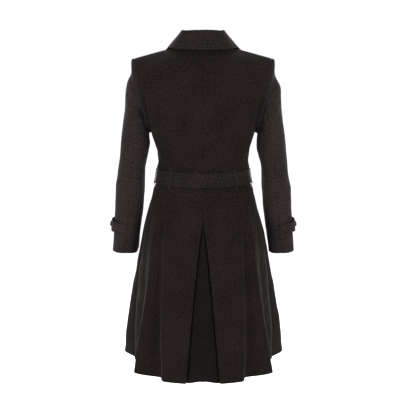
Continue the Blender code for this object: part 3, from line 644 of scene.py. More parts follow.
def top_edge(share, front):
    """Quarter ellipse of the neckline up to NECK_SHARE, then the shoulder seam to its tip."""
    turn = limit(share / NECK_SHARE) * np.pi / 2
    reach = np.where(front, -CHEST[-1].front, CHEST[-1].back)
    centre_z = np.where(front, CHEST[-1].front_z, CHEST[-1].back_z)
    along = limit((share - NECK_SHARE) / (1.0 - NECK_SHARE))
    x = NECK_HALF_WIDTH * np.sin(turn) + (SHOULDER_X - NECK_HALF_WIDTH) * along
    y = reach * np.cos(turn)
    rise = centre_z + (NECK_SIDE_Z - centre_z) * (1.0 - np.cos(turn))
    z = rise + (SHOULDER_Z - NECK_SIDE_Z) * along - SHOULDER_SAG * np.sin(np.pi * along)
    return np.stack([x, y, z], axis=-1)


def fold_reach(around, height):
    """Reach of the skirt's folds: eased steps between bowed lines, by a power of the drop."""
    drop = drop_below(FOLD_TOP_Z, height)
    reach = np.full(np.broadcast(around, height).shape, FOLDS[0].reach)
    for one, two in zip(FOLDS, FOLDS[1:]):
        start, end = (fold.at_top + (fold.at_hem - fold.at_top) * drop + fold.bow * arch(drop)
                      for fold in (one, two))
        reach = reach + (two.reach - one.reach) * smooth((around - start) / (end - start))
    return reach * drop ** FOLD_GROWTH


def folded(around):
    """Place round the body brought into -2 to 2, so that it wraps at the centre front."""
    return (np.asarray(around, float) + 2.0) % 4.0 - 2.0


def body(around, height):
    """Outer face of the body: the sections, lifted to the neck and shoulder line, plus the folds.

    around is 0 at centre back, +-1 at the side seams and +-2 at centre front. The lift is a power
    of the share of the way up the yoke, and the power grows by a bell round the neck's corner.
    """
    around, height = np.broadcast_arrays(np.asarray(around, float), np.asarray(height, float))
    around = folded(around)
    place = np.abs(around)
    front = place > 1.0
    share = np.where(front, 2.0 - place, place)
    points = section(share, height, front)
    corner = bell(share - NECK_SHARE, NECK_CORNER)
    lift = limit((height - (TOP - YOKE)) / YOKE) ** (LIFT_POWER + LIFT_CORNER_POWER * corner)
    level = section(share, np.full_like(height, TOP), front)
    points = points + lift[..., None] * (top_edge(share, front) - level)
    points[..., :2] += fold_reach(place, height)[..., None] * unit(points[..., :2])
    points[..., 0] *= np.where(around < 0, -1.0, 1.0)
    return points


def body_normal(around, height, low=-math.inf, high=math.inf):
    """Cross product of the body's upward and sideways steps, within low to high above the armpit.

    It is eased to the slope of the shoulder seam along that seam.
    """
    chest = height > ARMPIT_Z
    before, after = (np.where(chest, np.clip(place, low, high), place)
                     for place in (around - AROUND_STEP, around + AROUND_STEP))
    below = np.maximum(height - HEIGHT_STEP, HEM_Z)
    above = np.minimum(height + HEIGHT_STEP, np.where(chest, TOP, ARMPIT_Z))
    upward = body(around, above) - body(around, below)
    normal = unit(np.cross(upward, body(after, height) - body(before, height)))
    place = np.abs(folded(around))
    share = np.where(place > 1.0, 2.0 - place, place)
    on_shoulder = smooth((height - (TOP - SHOULDER_BAND)) / SHOULDER_BAND)
    on_shoulder = on_shoulder * smooth((share - NECK_SHARE + SHOULDER_EASE) / SHOULDER_EASE)
    slope = np.array([NECK_SIDE_Z - SHOULDER_Z, 0.0, SHOULDER_X - NECK_HALF_WIDTH])
    side = np.where(folded(around) < 0, -1.0, 1.0)[..., None]
    shoulder = unit(slope * np.concatenate([side, np.ones_like(side), np.ones_like(side)], axis=-1))
    return unit(normal + (shoulder - normal) * on_shoulder[..., None])


def crease_line(across, up, start, step, bend, width, depth):
    """One soft crease: a bell across a bowed line, eased to nothing at both of its ends.

    With t the share along the line and d the distance from it less bend * 4t(1 - t),
    the relief is depth * exp(-(d / width)^2) * ease(t).
    """
    length = math.hypot(*step)
    share = ((across - start[0]) * step[0] + (up - start[1]) * step[1]) / length ** 2
    off = ((across - start[0]) * step[1] - (up - start[1]) * step[0]) / length
    off = off - bend * arch(limit(share))
    ends = (smooth((share + CREASE_PAST) / CREASE_EASE)
            * smooth((1.0 + CREASE_PAST - share) / CREASE_EASE))
    return depth * bell(off, width) * ends


def steam(across, up):
    """Sum of long sine waves, the unevenness that wool keeps after pressing."""
    total = np.zeros(np.broadcast(across, up).shape)
    for wave in STEAM:
        phase = 2 * np.pi * (across / wave.across + up / wave.up) + wave.shift
        total = total + wave.height * np.sin(phase)
    return total


def body_relief(around, height):
    """Creases, waist puckers and unevenness of the body, fading out under the belt and at the neck.

    Not faded are the valley and the swell beside the belt's edges, bells of the distance from them,
    and the swell at the side seams, a bell round the seam that eases up from the belt.
    """
    place = folded(around)
    side = np.where(place < 0, -1, 1)
    place = np.abs(place)
    across = place * AROUND_SPAN
    relief = steam(across * side, height)
    for crease in BODY_CREASES:
        start = (crease.at * AROUND_SPAN, crease.height)
        step = (crease.run * AROUND_SPAN, crease.drop)
        line = crease_line(across, height, start, step, *crease[-3:])
        relief = relief + np.where(side * crease.side < 0, 0.0, line)
    for pucker in PUCKERS:
        at = (pucker.at + np.where(side < 0, PUCKER_JOG, 0.0)) * AROUND_SPAN
        for begin, reach in ((BELT_HIGH_Z, pucker.above), (BELT_LOW_Z, -pucker.below)):
            past = height - begin
            fade = smooth(past / (reach * PUCKER_RISE)) * smooth(1.0 - past / reach)
            relief = relief + pucker.depth * bell(across - at, PUCKER_WIDTH) * fade
    belt = smooth((np.abs(height - BELT_Z) - (BELT_HIGH_Z - BELT_Z) - BELT_MARGIN) / BELT_FADE)
    top = smooth((TOP - height) / TOP_FADE)
    valley = np.zeros_like(relief)
    for level, way, share in BELT_SIDES:
        past = (height - level) * way
        valley = valley + share * (ridge(BELT_VALLEY, past) + ridge(BELT_SWELL, past))
    past = height - BELT_HIGH_Z
    swell = smooth(past / WAIST_SWELL_RISE) * bell(past - WAIST_SWELL_RISE, WAIST_SWELL_REACH)
    valley = valley + WAIST_SWELL * swell * bell(place - 1.0, WAIST_SWELL_BAND)
    chest = smooth((height - ARMPIT_Z + CHEST_EASE) / CHEST_EASE)
    armhole_seam = 1.0 - chest * (1.0 - smooth(np.abs(place - 1.0) * AROUND_SPAN / ARMHOLE_EASE))
    return relief * belt * top * armhole_seam + valley


def princess(height):
    """Share of the way round the back at which the princess seam runs, read from its table."""
    return through([s.height for s in PRINCESS], [s.share for s in PRINCESS], height)


def pleat_edge(height):
    """Half the opening of the centre back pleat: a power of the drop, as a place round the body."""
    drop = drop_below(PLEAT_TOP_Z, height)
    return np.arcsin(PLEAT_HALF_OPEN * drop ** PLEAT_BOW / half_width(height)) / (np.pi / 2)


def front_edge(height):
    """Front edge past the centre: at OVERLAP below the break, then straight up the roll line."""
    share = np.minimum(OVERLAP / half_width(np.minimum(height, ARMPIT_Z)), 1.0)
    straight = np.arcsin(share) / (np.pi / 2)
    climb = limit((height - BREAK_Z) / (TOP - BREAK_Z))
    return straight + (-NECK_SHARE - straight) * climb


def under_right_front(around, height):
    """Depth of the left front under the right one: a wall and a gap, eased in past its edge."""
    near, far = UNDER_FADE
    drop = drop_below(FOLD_TOP_Z, height)
    depth = CLOTH + UNDER_GAP + UNDER_HEM_GAP * drop
    return depth * smooth((around - (2.0 - front_edge(height)) + far) / (far - near))


def mesh_object(name, points, faces, look, texture=None):
    """Mesh from arrays of points and quads, shaded smooth, with a map in metres for the weave."""
    mesh = bpy.data.meshes.new(name)
    mesh.vertices.add(len(points))
    mesh.vertices.foreach_set("co", np.asarray(points, np.float32).ravel())
    mesh.loops.add(faces.size)
    mesh.loops.foreach_set("vertex_index", faces.ravel().astype(np.int32))
    mesh.polygons.add(len(faces))
    starts = np.arange(0, faces.size, faces.shape[1], dtype=np.int32)
    mesh.polygons.foreach_set("loop_start", starts)
    mesh.update(calc_edges=True)
    mesh.polygons.foreach_set("use_smooth", np.ones(len(faces), bool))
    if texture is not None:
        layer = mesh.uv_layers.new(name="weave")
        layer.data.foreach_set("uv", texture[faces.ravel()].astype(np.float32).ravel())
    mesh.materials.append(look)
    made = bpy.data.objects.new(name, mesh)
    bpy.context.scene.collection.objects.link(made)
    return made


def quads(index):
    """Quads between the neighbours of a grid of point numbers, or of several grids in one array."""
    low, high = index[..., :-1, :], index[..., 1:, :]
    corners = [low[..., :-1], low[..., 1:], high[..., 1:], high[..., :-1]]
    return np.stack(corners, axis=-1).reshape(-1, 4)


def arc_lengths(grid):
    """Distance along each row from its middle, and up from the first row, for the weave's map."""
    across = np.cumsum(lengths(grid, axis=1), axis=1)
    across = np.concatenate([np.zeros((len(grid), 1)), across], axis=1)
    up = running(lengths(grid).mean(axis=1))[:, None]
    return np.stack([across - across[:, -1:] / 2, np.broadcast_to(up, across.shape)], axis=-1)


def cloth_wall(name, outer, inner, look):
    """Closed wall: outer and inner grids, joined round the border through one rounded rim line.

    A rim point is the middle of its two border points, pushed away by RIM_REACH of the wall.
    """
    rows, columns = outer.shape[:2]
    count = rows * columns
    index = np.arange(count).reshape(rows, columns)
    border = np.concatenate([index[0, :-1], index[:-1, -1], index[-1, :0:-1], index[:0:-1, 0]])
    away = np.zeros_like(outer)
    away[0] += unit(outer[0] - outer[1])
    away[-1] += unit(outer[-1] - outer[-2])
    away[:, 0] += unit(outer[:, 0] - outer[:, 1])
    away[:, -1] += unit(outer[:, -1] - outer[:, -2])
    flat_outer, flat_inner = outer.reshape(-1, 3), inner.reshape(-1, 3)
    wall = np.linalg.norm(flat_outer[border] - flat_inner[border], axis=-1, keepdims=True)
    rim = (flat_outer[border] + flat_inner[border]) / 2
    rim = rim + away.reshape(-1, 3)[border] * wall * RIM_REACH
    faces = quads(index)
    after = np.roll(border, -1)
    middle = np.arange(len(border)) + 2 * count
    next_middle = np.roll(middle, -1)
    edges = [np.stack([after, border, middle, next_middle], axis=-1),
             np.stack([next_middle, middle, border + count, after + count], axis=-1)]
    faces = np.concatenate([faces, faces[:, ::-1] + count] + edges)
    side = np.cross(outer[1:, :-1] - outer[:-1, :-1], outer[:-1, 1:] - outer[:-1, :-1])
    if np.sum(side * (outer - inner)[:-1, :-1]) > 0:
        faces = faces[:, ::-1]
    map_grid = arc_lengths(outer).reshape(-1, 2) + np.array([outer[0, 0, 0] * MAP_SHIFT, 0.0])
    return mesh_object(name, np.concatenate([flat_outer, flat_inner, rim]), faces, look,
                       np.concatenate([map_grid, map_grid, map_grid[border]]))


def declare(piece, solid):
    """Let the piece ride with the coat and stand for its solid, if any."""
    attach(piece, "root")
    if solid is not None:
        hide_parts(solid)


def seam_columns(low, high, first_speed, last_speed, count):
    """Places across a panel from low to high, by rows: even columns, and close ones at both seams.

    A speed is metres for each unit of place at that seam. Returned with each place's distance from
    its nearer seam, in metres.
    """
    steps = np.array(SEAM_STEPS)[None, :]
    low, high = low[:, None], high[:, None]
    first_speed, last_speed = first_speed[:, None], last_speed[:, None]
    way = np.sign(high - low)
    room = SEAM_ROOM * np.abs(high - low) * np.minimum(first_speed, last_speed) / steps[0, -1]
    steps = steps * np.minimum(1.0, room)
    first = low + way * steps / first_speed
    last = high - way * steps[:, ::-1] / last_speed
    inside = np.linspace(0.0, 1.0, count + 1)[None, 1:-1]
    middle = first[:, -1:] + (last[:, :1] - first[:, -1:]) * inside
    place = np.concatenate([first, middle, last], axis=1)
    distance = np.minimum(np.abs(place - low) * first_speed, np.abs(high - place) * last_speed)
    return place, distance


def seam_dip(distance):
    """Drawn-in line along a seam: a bell of the distance from it."""
    return SEAM_DIP * bell(distance, SEAM_DIP_WIDTH)


def seam_grid(low, high, heights):
    """Places round the body for a panel, its heights, and the dip beside its seams.

    The last rows below the neck and shoulder are set by their distance in metres from that edge.
    """
    near = SPEED_STEP * (high - low)
    first_step = body(low + near, heights) - body(low, heights)
    last_step = body(high, heights) - body(high - near, heights)
    first_speed, last_speed = (np.linalg.norm(step, axis=-1) / np.abs(near)
                               for step in (first_step, last_step))
    width = np.abs(high - low) * (first_speed + last_speed) / 2
    count = max(int(np.median(width) / FINE_ACROSS), LEAST_COLUMNS)
    around, distance = seam_columns(low, high, first_speed, last_speed, count)
    height = np.broadcast_to(heights[:, None], around.shape)
    rise = np.linalg.norm(body(around, TOP) - body(around, TOP - TOP_STEP), axis=-1)
    near_top = TOP - height < TOP_ROWS
    height = np.where(near_top, TOP - (TOP - height) / np.maximum(rise / TOP_STEP, 1.0), height)
    drop = drop_below(FOLD_TOP_Z, height)
    return around, height, seam_dip(distance) * (1.0 + SKIRT_DIP * drop)


def panel_rows(low, high):
    """Heights of a panel's rows: even steps, with close ones at the two ends."""
    count = int((high - low) / FINE)
    inside = np.linspace(low + LOW_START, high - HIGH_START, count)
    return np.concatenate([low + LOW_ROWS, inside, high - HIGH_ROWS])


def panel(name, solid, low, high, heights, half, sink=None):
    """Body panel: the body, moved along its normal by the relief, less the dip beside each seam."""
    around, height, dip = seam_grid(low, high, heights)
    normal = body_normal(around, height, *half)
    move = body_relief(around, height) - dip
    if sink is not None:
        move = move - sink(around, height)
    outer = body(around, height) + move[..., None] * normal
    made = cloth_wall(name, outer, outer - CLOTH * normal, WOOL)
    declare(made, solid)


def build_back():
    """Centre back and side back panels on both sides."""
    tip = row_height(PRINCESS_END)
    whole = np.concatenate([panel_rows(HEM_Z, TOP), tip + np.array(PRINCESS_END_ROWS)])
    whole = np.sort(whole)
    short = panel_rows(HEM_Z, tip)
    outside = np.where(whole < tip, princess(np.minimum(whole, tip)), 1.0)
    for name, side in SIDES:
        half = (0.0, 1.0) if side > 0 else (-1.0, 0.0)
        panel("back_panel_" + name, "back_" + name,
              side * pleat_edge(whole), side * outside, whole, half)
        panel("side_panel_" + name, "side_back_" + name,
              side * princess(short), side * np.ones_like(short), short, half)


def build_fronts():
    """Left front beneath, right front over it."""
    rows = panel_rows(HEM_Z, TOP)
    edge = front_edge(rows)
    side = np.full_like(rows, FRONT_SIDE)
    panel("front_panel_left", "front_left", side, 2.0 + edge, rows, FRONT_LIMITS[1.0],
          under_right_front)
    panel("front_panel_right", "front_right", -side, -2.0 - edge, rows, FRONT_LIMITS[-1.0])


def build_pleat():
    """Pleat underlay: the body sunk by a wall's depth at the edges, and most along the centre.

    A bell of the distance from each pleat edge sinks it further, where the cloth folds back; this
    groove grows with the root of the drop and fades towards the hem. A narrow bell along the
    centre, in proportion to the drop, raises the crease pressed there.
    """
    heights = panel_rows(HEM_Z, PLEAT_TOP_Z + PLEAT_TUCK_UP)
    width = half_width(heights) * np.pi / 2
    drop = drop_below(PLEAT_TOP_Z, heights)
    edge = pleat_edge(heights)
    reach = edge + PLEAT_TUCK * (PLEAT_TUCK_TOP + (1.0 - PLEAT_TUCK_TOP) * drop) / width
    share = np.linspace(-1.0, 1.0, PLEAT_COLUMNS)[None, :]
    around = reach[:, None] * share
    height = np.broadcast_to(heights[:, None], around.shape)
    normal = body_normal(around, height, -1.0, 1.0)
    drop, edge, width = drop[:, None], edge[:, None], width[:, None]
    inside = 1.0 - limit(np.abs(around) / np.maximum(edge, PLEAT_LEAST))
    sink = CLOTH + LIE + PLEAT_STEP * np.sqrt(drop) + PLEAT_DEPTH * drop * inside
    groove = PLEAT_GROOVE * np.sqrt(drop) * (1.0 - PLEAT_GROOVE_FADE * drop ** 2)
    sink = sink + groove * bell((np.abs(around) - edge) * width, PLEAT_GROOVE_WIDTH)
    crease = PLEAT_RIDGE * drop * bell(around * width, PLEAT_RIDGE_WIDTH)
    move = np.minimum(body_relief(around, height), 0.0) - sink + crease
    outer = body(around, height) + move[..., None] * normal
    # The underlay wears the darker copy of the wool: painted shade in the pleat's recess
    made = cloth_wall("pleat_panel", outer, outer - CLOTH * normal, SHADED_PLEAT_WOOL)
    declare(made, "pleat_underlay")


def sleeve_rings():
    """Sleeve rings from the armhole to the cuff, with the length along their middles."""
    lean = unit(np.array([SHOULDER_X - ARMPIT_X, SHOULDER_Z - ARMPIT_Z]))
    out_x, out_z = np.array([lean[1], -lean[0]]) * ROLL
    first = Ring(SHOULDER_X, SHOULDER_Z, ARMPIT_X, ARMPIT_Z, 0.0, ARMHOLE_HALF_DEPTH)
    second = first._replace(out_x=first.out_x + out_x, out_z=first.out_z + out_z,
                            in_x=first.in_x + out_x, in_z=first.in_z + out_z)
    rings = np.array((first, second) + SLEEVE)
    middle = (rings[:, 0:2] + rings[:, 2:4]) / 2
    return running(lengths(middle)), rings


SLEEVE_ALONG, SLEEVE_RINGS = sleeve_rings()


def sleeve(angle, along):
    """Left sleeve: ellipses through the rings, angle 0 outside, 90 back, 180 inside, 270 front."""
    angle = np.radians(np.asarray(angle, float))
    angle, along = np.broadcast_arrays(angle, np.asarray(along, float))
    sizes = through(SLEEVE_ALONG, SLEEVE_RINGS, along)
    out_x, out_z, in_x, in_z, mid_y, half_depth = np.moveaxis(sizes, -1, 0)
    x = (out_x + in_x) / 2 + (out_x - in_x) / 2 * np.cos(angle)
    z = (out_z + in_z) / 2 + (out_z - in_z) / 2 * np.cos(angle)
    return np.stack([x, mid_y + half_depth * np.sin(angle), z], axis=-1)


def sleeve_normal(angle, along):
    """Cross product of the sleeve's downward and sideways steps."""
    after = np.minimum(along + ALONG_STEP, SLEEVE_ALONG[-1])
    before = np.maximum(along - ALONG_STEP, 0.0)
    down = sleeve(angle, after) - sleeve(angle, before)
    across = sleeve(angle + 1.0, along) - sleeve(angle - 1.0, along)
    return unit(np.cross(down, across))


def sleeve_along(z):
    """Length along the sleeve at which its middle has this height."""
    middle_z = (SLEEVE_RINGS[:, 1] + SLEEVE_RINGS[:, 3]) / 2
    return np.interp(-z, -middle_z, SLEEVE_ALONG)


def sleeve_relief(angle, along, jog):
    """Creases of a sleeve, the ease puckers at its head, the pressed inner half and unevenness.

    jog is 0 on the left and 1 on the right, where the creases are moved by SLEEVE_JOG. The press
    is sin^2 of twice the angle on the inner half, and grows towards the cuff.
    """
    around = np.mod(angle + SLEEVE_CUT, 360.0) - SLEEVE_CUT
    relief = steam(around * DEGREE_SPAN + STEAM_JOG * jog, along)
    for crease in SLEEVE_CREASES:
        start = np.mod(crease.angle + jog * SLEEVE_JOG.angle + SLEEVE_CUT, 360.0) - SLEEVE_CUT
        step = (crease.turn * DEGREE_SPAN, crease.run + jog * SLEEVE_JOG.run)
        for turn in (-360.0, 0.0, 360.0):
            begin = ((start + turn) * DEGREE_SPAN, crease.along + jog * SLEEVE_JOG.along)
            relief = relief + crease_line(around * DEGREE_SPAN, along, begin, step, *crease[-3:])
    wander = EASE_WANDER * np.sin(np.radians(around) * EASE_WANDER_WAVES)
    ease = np.sin(np.radians(around) * EASE_WAVES + wander)
    head = smooth((EASE_HALF - np.abs(around - EASE_MIDDLE)) / EASE_FADE)
    relief = relief + ridge(EASE_PUCKER, along) * ease * head
    inside = np.abs(np.mod(angle, 360.0) - 180.0) < QUARTER
    press = np.where(inside, np.sin(np.radians(angle) * 2.0) ** 2, 0.0)
    press = press * eased(SLEEVE_PRESS_EASE, along)
    press = press * (1.0 + CUFF_PRESS * eased(CUFF_PRESS_EASE, along))
    return relief * eased(HEAD_EASE, along) + SLEEVE_PRESS * press


def flip(points, side):
    """Points for the left side, mirrored across x for the right one."""
    return points * np.array([side, 1.0, 1.0])


def build_sleeves():
    """Upper and under sleeve on each side, parted at the back and front seams."""
    length = SLEEVE_ALONG[-1]
    count = int(length / FINE * SLEEVE_FINER_ROWS)
    middle = np.linspace(HEAD_START, length - LOW_START, count)
    rows = np.concatenate([HEAD_ROWS, middle, length - LOW_ROWS[::-1]])
    seams = (SLEEVE_FRONT_SEAM - 360, SLEEVE_BACK_SEAM, SLEEVE_FRONT_SEAM)
    for name, ends in (("upper", seams[:2]), ("under", seams[1:])):
        start, end = (np.full_like(rows, place) for place in ends)
        speeds = (np.linalg.norm(sleeve(place + 0.5, rows) - sleeve(place - 0.5, rows), axis=-1)
                  for place in (start, end))
        count = int((end[0] - start[0]) * DEGREE_SPAN / FINE * SLEEVE_FINER_COLUMNS)
        angle, distance = seam_columns(start, end, *speeds, count)
        along = np.broadcast_to(rows[:, None], angle.shape)
        normal = sleeve_normal(angle, np.maximum(along, 0.0))
        dip = SLEEVE_SEAM_SHARE * seam_dip(distance)
        dip = dip + SLEEVE_SEAM_DIP * bell(along, SEAM_DIP_WIDTH)
        for side_name, side in SIDES:
            move = sleeve_relief(angle, along, 0.0 if side > 0 else 1.0) - dip
            outer = flip(sleeve(angle, along) + move[..., None] * normal, side)
            inner = outer - CLOTH * flip(normal, side)
            # The sleeves wear the lighter copy of the wool: painted light
            made = cloth_wall(f"sleeve_{name}_{side_name}", outer, inner, LIT_SLEEVE_WOOL)
            declare(made, f"{name}_sleeve_{side_name}")


def gorge_height(share):
    """Height of the roll line beside the collar, from the shoulder down to the gorge."""
    descend = limit((share - COLLAR_SIDE) / (1.0 - COLLAR_SIDE))
    return TOP + (row_height(GORGE_ANGLE) - TOP) * descend


def collar_neck(share):
    """Neck seam of the left half: along the neckline to its side, then down the roll line."""
    back = body(NECK_SHARE * np.minimum(share / COLLAR_SIDE, 1.0), TOP)
    height = gorge_height(share)
    front = body(2.0 + front_edge(height), height)
    return np.where((share > COLLAR_SIDE)[..., None], front, back)


def collar_guides(share):
    """Neck seam, its up and outward directions, and the fall's edge, on the left half.

    At the back the edge hangs by a drop and an outward reach; past the shoulder it eases onto the
    chest.
    """
    neck = collar_neck(share)
    back = np.minimum(share / COLLAR_SIDE, 1.0)
    front = limit((share - COLLAR_SIDE) / (1.0 - COLLAR_SIDE))
    heading = np.radians(COLLAR_SIDE_HEADING * back)
    level = np.stack([np.sin(heading), np.cos(heading), np.zeros_like(heading)], axis=-1)
    rise = np.broadcast_to(np.array([0.0, 0.0, 1.0]), level.shape)
    table = np.array(COLLAR)
    sizes = through(table[:, 0], table[:, 1:], share)
    stand, lean = sizes[..., :1], sizes[..., 1:]
    out = (COLLAR_BACK_OUT + (COLLAR_SIDE_OUT - COLLAR_BACK_OUT) * back ** 2)[..., None]
    drop = (COLLAR_BACK_DROP + (COLLAR_SIDE_DROP - COLLAR_BACK_DROP) * back)[..., None]
    edge_back = neck + (stand - drop) * rise + (lean + out) * level
    height = gorge_height(share)
    span = COLLAR_SIDE_SPAN + (COLLAR_GORGE_SPAN - COLLAR_SIDE_SPAN) * front
    roll = 2.0 + front_edge(height)
    clear = COLLAR_CLEAR * body_normal(roll - span, height, *FRONT_LIMITS[1.0])
    edge_front = body(roll - span, height) + clear
    ease = smooth(front * COLLAR_EASE)[..., None]
    edge = edge_back + (edge_front - edge_back) * ease
    chest = body_normal(roll, height, *FRONT_LIMITS[1.0])
    up = unit(rise + (chest - rise) * ease)
    outward = unit(level + (unit(edge_front - neck) - level) * ease)
    return neck + (LAY + SEAM) * up, up, outward, edge, stand, lean


def collar(share, step):
    """Middle of the collar wall: step 0 to 1 the stand, to 2 the fold's arc, to 3 the fall.

    The stand is straight, and the fall bulges by a half sine along its way to the edge.
    """
    neck, up, outward, edge, stand, lean = collar_guides(np.abs(share))
    centre = neck + (stand - COLLAR_FOLD) * up + lean * outward
    reach = np.sum((edge - centre) * outward, axis=-1)
    fall = -np.sum((edge - centre) * up, axis=-1)
    last = np.pi - np.arctan2(reach - COLLAR_FOLD, np.maximum(fall, COLLAR_LEAST_FALL))
    turn = (last * limit(step - 1.0))[..., None]
    arc = centre + COLLAR_FOLD * (np.sin(turn) * up - np.cos(turn) * outward)
    rest = limit(step - 2.0)[..., None]
    points = neck + (arc - neck) * limit(step)[..., None]
    bulge = (COLLAR_SWELL * np.sin(np.pi * rest)) * unit(outward + up)
    points = points + (edge - points) * rest + bulge
    points[..., 0] *= np.where(share < 0, -1.0, 1.0)
    return points


def collar_normal(share, step):
    """Direction out of the collar's visible face, from its steps along and across."""
    after, before = (np.clip(share + way, -1.0, 1.0) for way in (SHARE_STEP, -SHARE_STEP))
    further, nearer = (np.clip(step + way, 0.0, 3.0) for way in (FOLD_STEP, -FOLD_STEP))
    across = collar(after, step) - collar(before, step)
    return unit(np.cross(across, collar(share, further) - collar(share, nearer)))


def build_collar():
    """Collar: stand, rolled fold and fall in one wall, with a line of stitching inside its edge."""
    stand, fold = np.linspace(0.02, 1.0, 9), np.linspace(1.0, 2.0, 13)[1:]
    steps = np.concatenate([stand, fold, np.linspace(2.0, 2.98, 17)[1:]])
    share, step = np.meshgrid(np.linspace(-0.995, 0.995, 161), steps)
    normal = collar_normal(share, step)
    uneven = COLLAR_STEAM * steam(share * COLLAR_STEAM_ACROSS, step * COLLAR_STEAM_UP)
    middle = collar(share, step) + (uneven + ridge(COLLAR_GROOVE, step))[..., None] * normal
    outer, inner = middle + COLLAR_WALL / 2 * normal, middle - COLLAR_WALL / 2 * normal
    # The collar wears the lighter trim copy of the wool: painted light
    made = cloth_wall("collar_cloth", outer, inner, LIT_TRIM_WOOL)
    declare(made, "collar")
    share = np.linspace(-0.98, 0.98, 241)
    step = np.full_like(share, COLLAR_STITCH)
    normal = collar_normal(share, step)
    path = collar(share, step) + (COLLAR_WALL / 2 - COLLAR_STITCH_SINK) * normal
    stitches("collar_stitching", [(path, normal)])


def lapel_row(across, share, side):
    """Height of a lapel's row, the place where it starts, and how far it is open there.

    It starts at its roll line, or beside the covering front. The gorge end sinks past NOTCH_FROM
    of the lapel's width, which opens the notch.
    """
    notch = LAPEL_DROP * limit((across - NOTCH_FROM) / (1.0 - NOTCH_FROM))
    height = BREAK_Z + (row_height(GORGE_ANGLE) - GORGE_GAP - notch - BREAK_Z) * share
    edge = front_edge(height)
    cover = 2.0 - edge - COVER_GAP
    start = 2.0 + edge
    if side < 0:
        return height, start, np.ones_like(start)
    return height, np.minimum(start, cover), smooth((cover - start) / COVER_EASE)


def lapel(across, share, side):
    """Lapel's face and underside: the body's points outwards of the roll line, lifted in a roll.

    The lift is the root of a half sine across the lapel, and grows in proportion to its outer edge.
    """
    height, start, _ = lapel_row(across, share, side)
    table = np.array(LAPEL)
    width = through(table[:, 0], table[:, 1], share)
    near = body(2.0 + 2 * SHARE_STEP, height) - body(2.0 - 2 * SHARE_STEP, height)
    unit_length = np.linalg.norm(near, axis=-1) / (4 * SHARE_STEP)
    end = np.minimum(2.0 + front_edge(height) - width / unit_length, start - LAPEL_LEAST)
    around = start + (end - start) * across
    normal = body_normal(side * around, height, *FRONT_LIMITS[side])
    roll = LAPEL_ROLL * np.sqrt(np.sin(np.pi * limit(across)))
    under = np.broadcast_to(LIE + roll + LAPEL_EDGE * across, around.shape)[..., None]
    points = body(side * around, height)
    return points + (under + LAPEL_WALL) * normal, points + under * normal, normal


def lapel_roll(turn, share, side):
    """Rolled fold that joins a lapel to its front: half a ring round the front's edge.

    turn 0 is the lapel's side and pi the front's inside; the ring flattens where the other front
    covers it.
    """
    height, start, open_share = lapel_row(np.zeros_like(turn), share, side)
    normal = body_normal(side * start, height, *FRONT_LIMITS[side])
    edge = body(side * start, height)
    beyond = edge - body(side * (start - LAPEL_LEAST), height)
    beyond = unit(beyond - np.sum(beyond * normal, axis=-1, keepdims=True) * normal)
    middle = (LIE + LAPEL_WALL / 2 - CLOTH / 2) / 2
    radius = (LIE + LAPEL_WALL / 2 + CLOTH / 2) / 2
    ring = (open_share * np.sin(turn))[..., None] * beyond + np.cos(turn)[..., None] * normal
    centre = edge + middle * normal
    return centre + (radius + LAPEL_WALL / 2) * ring, centre + (radius - LAPEL_WALL / 2) * ring


def build_lapels():
    """Lapels rolled over from the fronts' edges and lying on them, stitched inside their edges."""
    rows = np.linspace(0.004, 0.998, 61)
    columns = np.concatenate([[0.0, 0.02, 0.05], np.linspace(0.09, 0.95, 24), [0.985]])
    across, share = np.meshgrid(columns, rows)
    turns = np.pi * np.array([0.92, 0.75, 0.6, 0.45, 0.3, 0.15])
    turn, roll_share = np.meshgrid(turns, rows)
    for name, side in SIDES:
        rolls, faces = lapel_roll(turn, roll_share, side), lapel(across, share, side)
        outer, inner = (np.concatenate(pair, axis=1) for pair in zip(rolls, faces))
        made = cloth_wall("lapel_cloth_" + name, outer, inner, WOOL)
        declare(made, "lapel_" + name)
        line, top = np.linspace(0.10, LAPEL_STITCH, 90), np.linspace(0.12, LAPEL_STITCH, 60)
        lines = []
        for place in ((LAPEL_STITCH, line), (top, GORGE_STITCH)):
            face, _, out = lapel(*np.broadcast_arrays(*place), side)
            lines.append((face - LAPEL_STITCH_SINK * out, out))
        stitches("lapel_stitching_" + name, lines)


def belt_offset(around):
    """Clearance under the belt: over the bar at the buckle, then over its own start."""
    past = -2.0 - around
    rise = (BELT_OVER_BAR - LIE) * eased(BELT_RISE, past)
    return LIE + rise - (BELT_OVER_BAR - OVER_BELT) * eased(BELT_FALL, past)


def belt_face(around, level):
    """Point, normal and clearance of the belt, narrowed at the tip.

    level -1 to 1 is its lower to its upper edge.
    """
    tip = smooth((BELT_END + BELT_TAPER_LENGTH - around) / BELT_TAPER_LENGTH)
    taper = 1.0 - BELT_TAPER * tip ** 2
    height = BELT_Z + (BELT_HIGH_Z - BELT_Z) * level * taper
    normal = body_normal(around, height)
    return body(around, height), normal, belt_offset(around)[..., None]


def edge_lines(face, run, level, wall):
    """Stitching lines along a strip's lower and upper edge, sunk into its outer side."""
    lines = []
    for edge in (-level, level):
        points, normal, offset = face(run, np.full_like(run, edge))
        lines.append((points + (offset + wall - STITCH_SINK) * normal, normal))
    return lines


def build_belt():
    """Belt: one strip round the body and over itself, beaded and stitched along both edges."""
    parts = ((BELT_START, -1.80, 330), (-1.81, -2.14, 60), (-2.15, BELT_END, 50))
    around = np.concatenate([np.linspace(*part) for part in parts])
    half = np.array([0.2, 0.5, 0.78, 0.84, 0.88, 0.93, 0.965])
    level, around = np.meshgrid(np.concatenate([-half[::-1], half]), around, indexing="ij")
    points, normal, offset = belt_face(around, level)
    crown = (ridge(BELT_BEAD, np.abs(level)) + ridge(BELT_GROOVE, np.abs(level)))[..., None]
    outer = points + (offset + BELT_WALL + crown) * normal
    # The belt wears the lighter trim copy of the wool: painted light
    made = cloth_wall("belt_cloth", outer, points + offset * normal, LIT_TRIM_WOOL)
    declare(made, "belt")
    run = np.linspace(BELT_START - 0.02, BELT_END + 0.03, 900)
    stitches("belt_stitching", edge_lines(belt_face, run, BELT_STITCH, BELT_WALL))


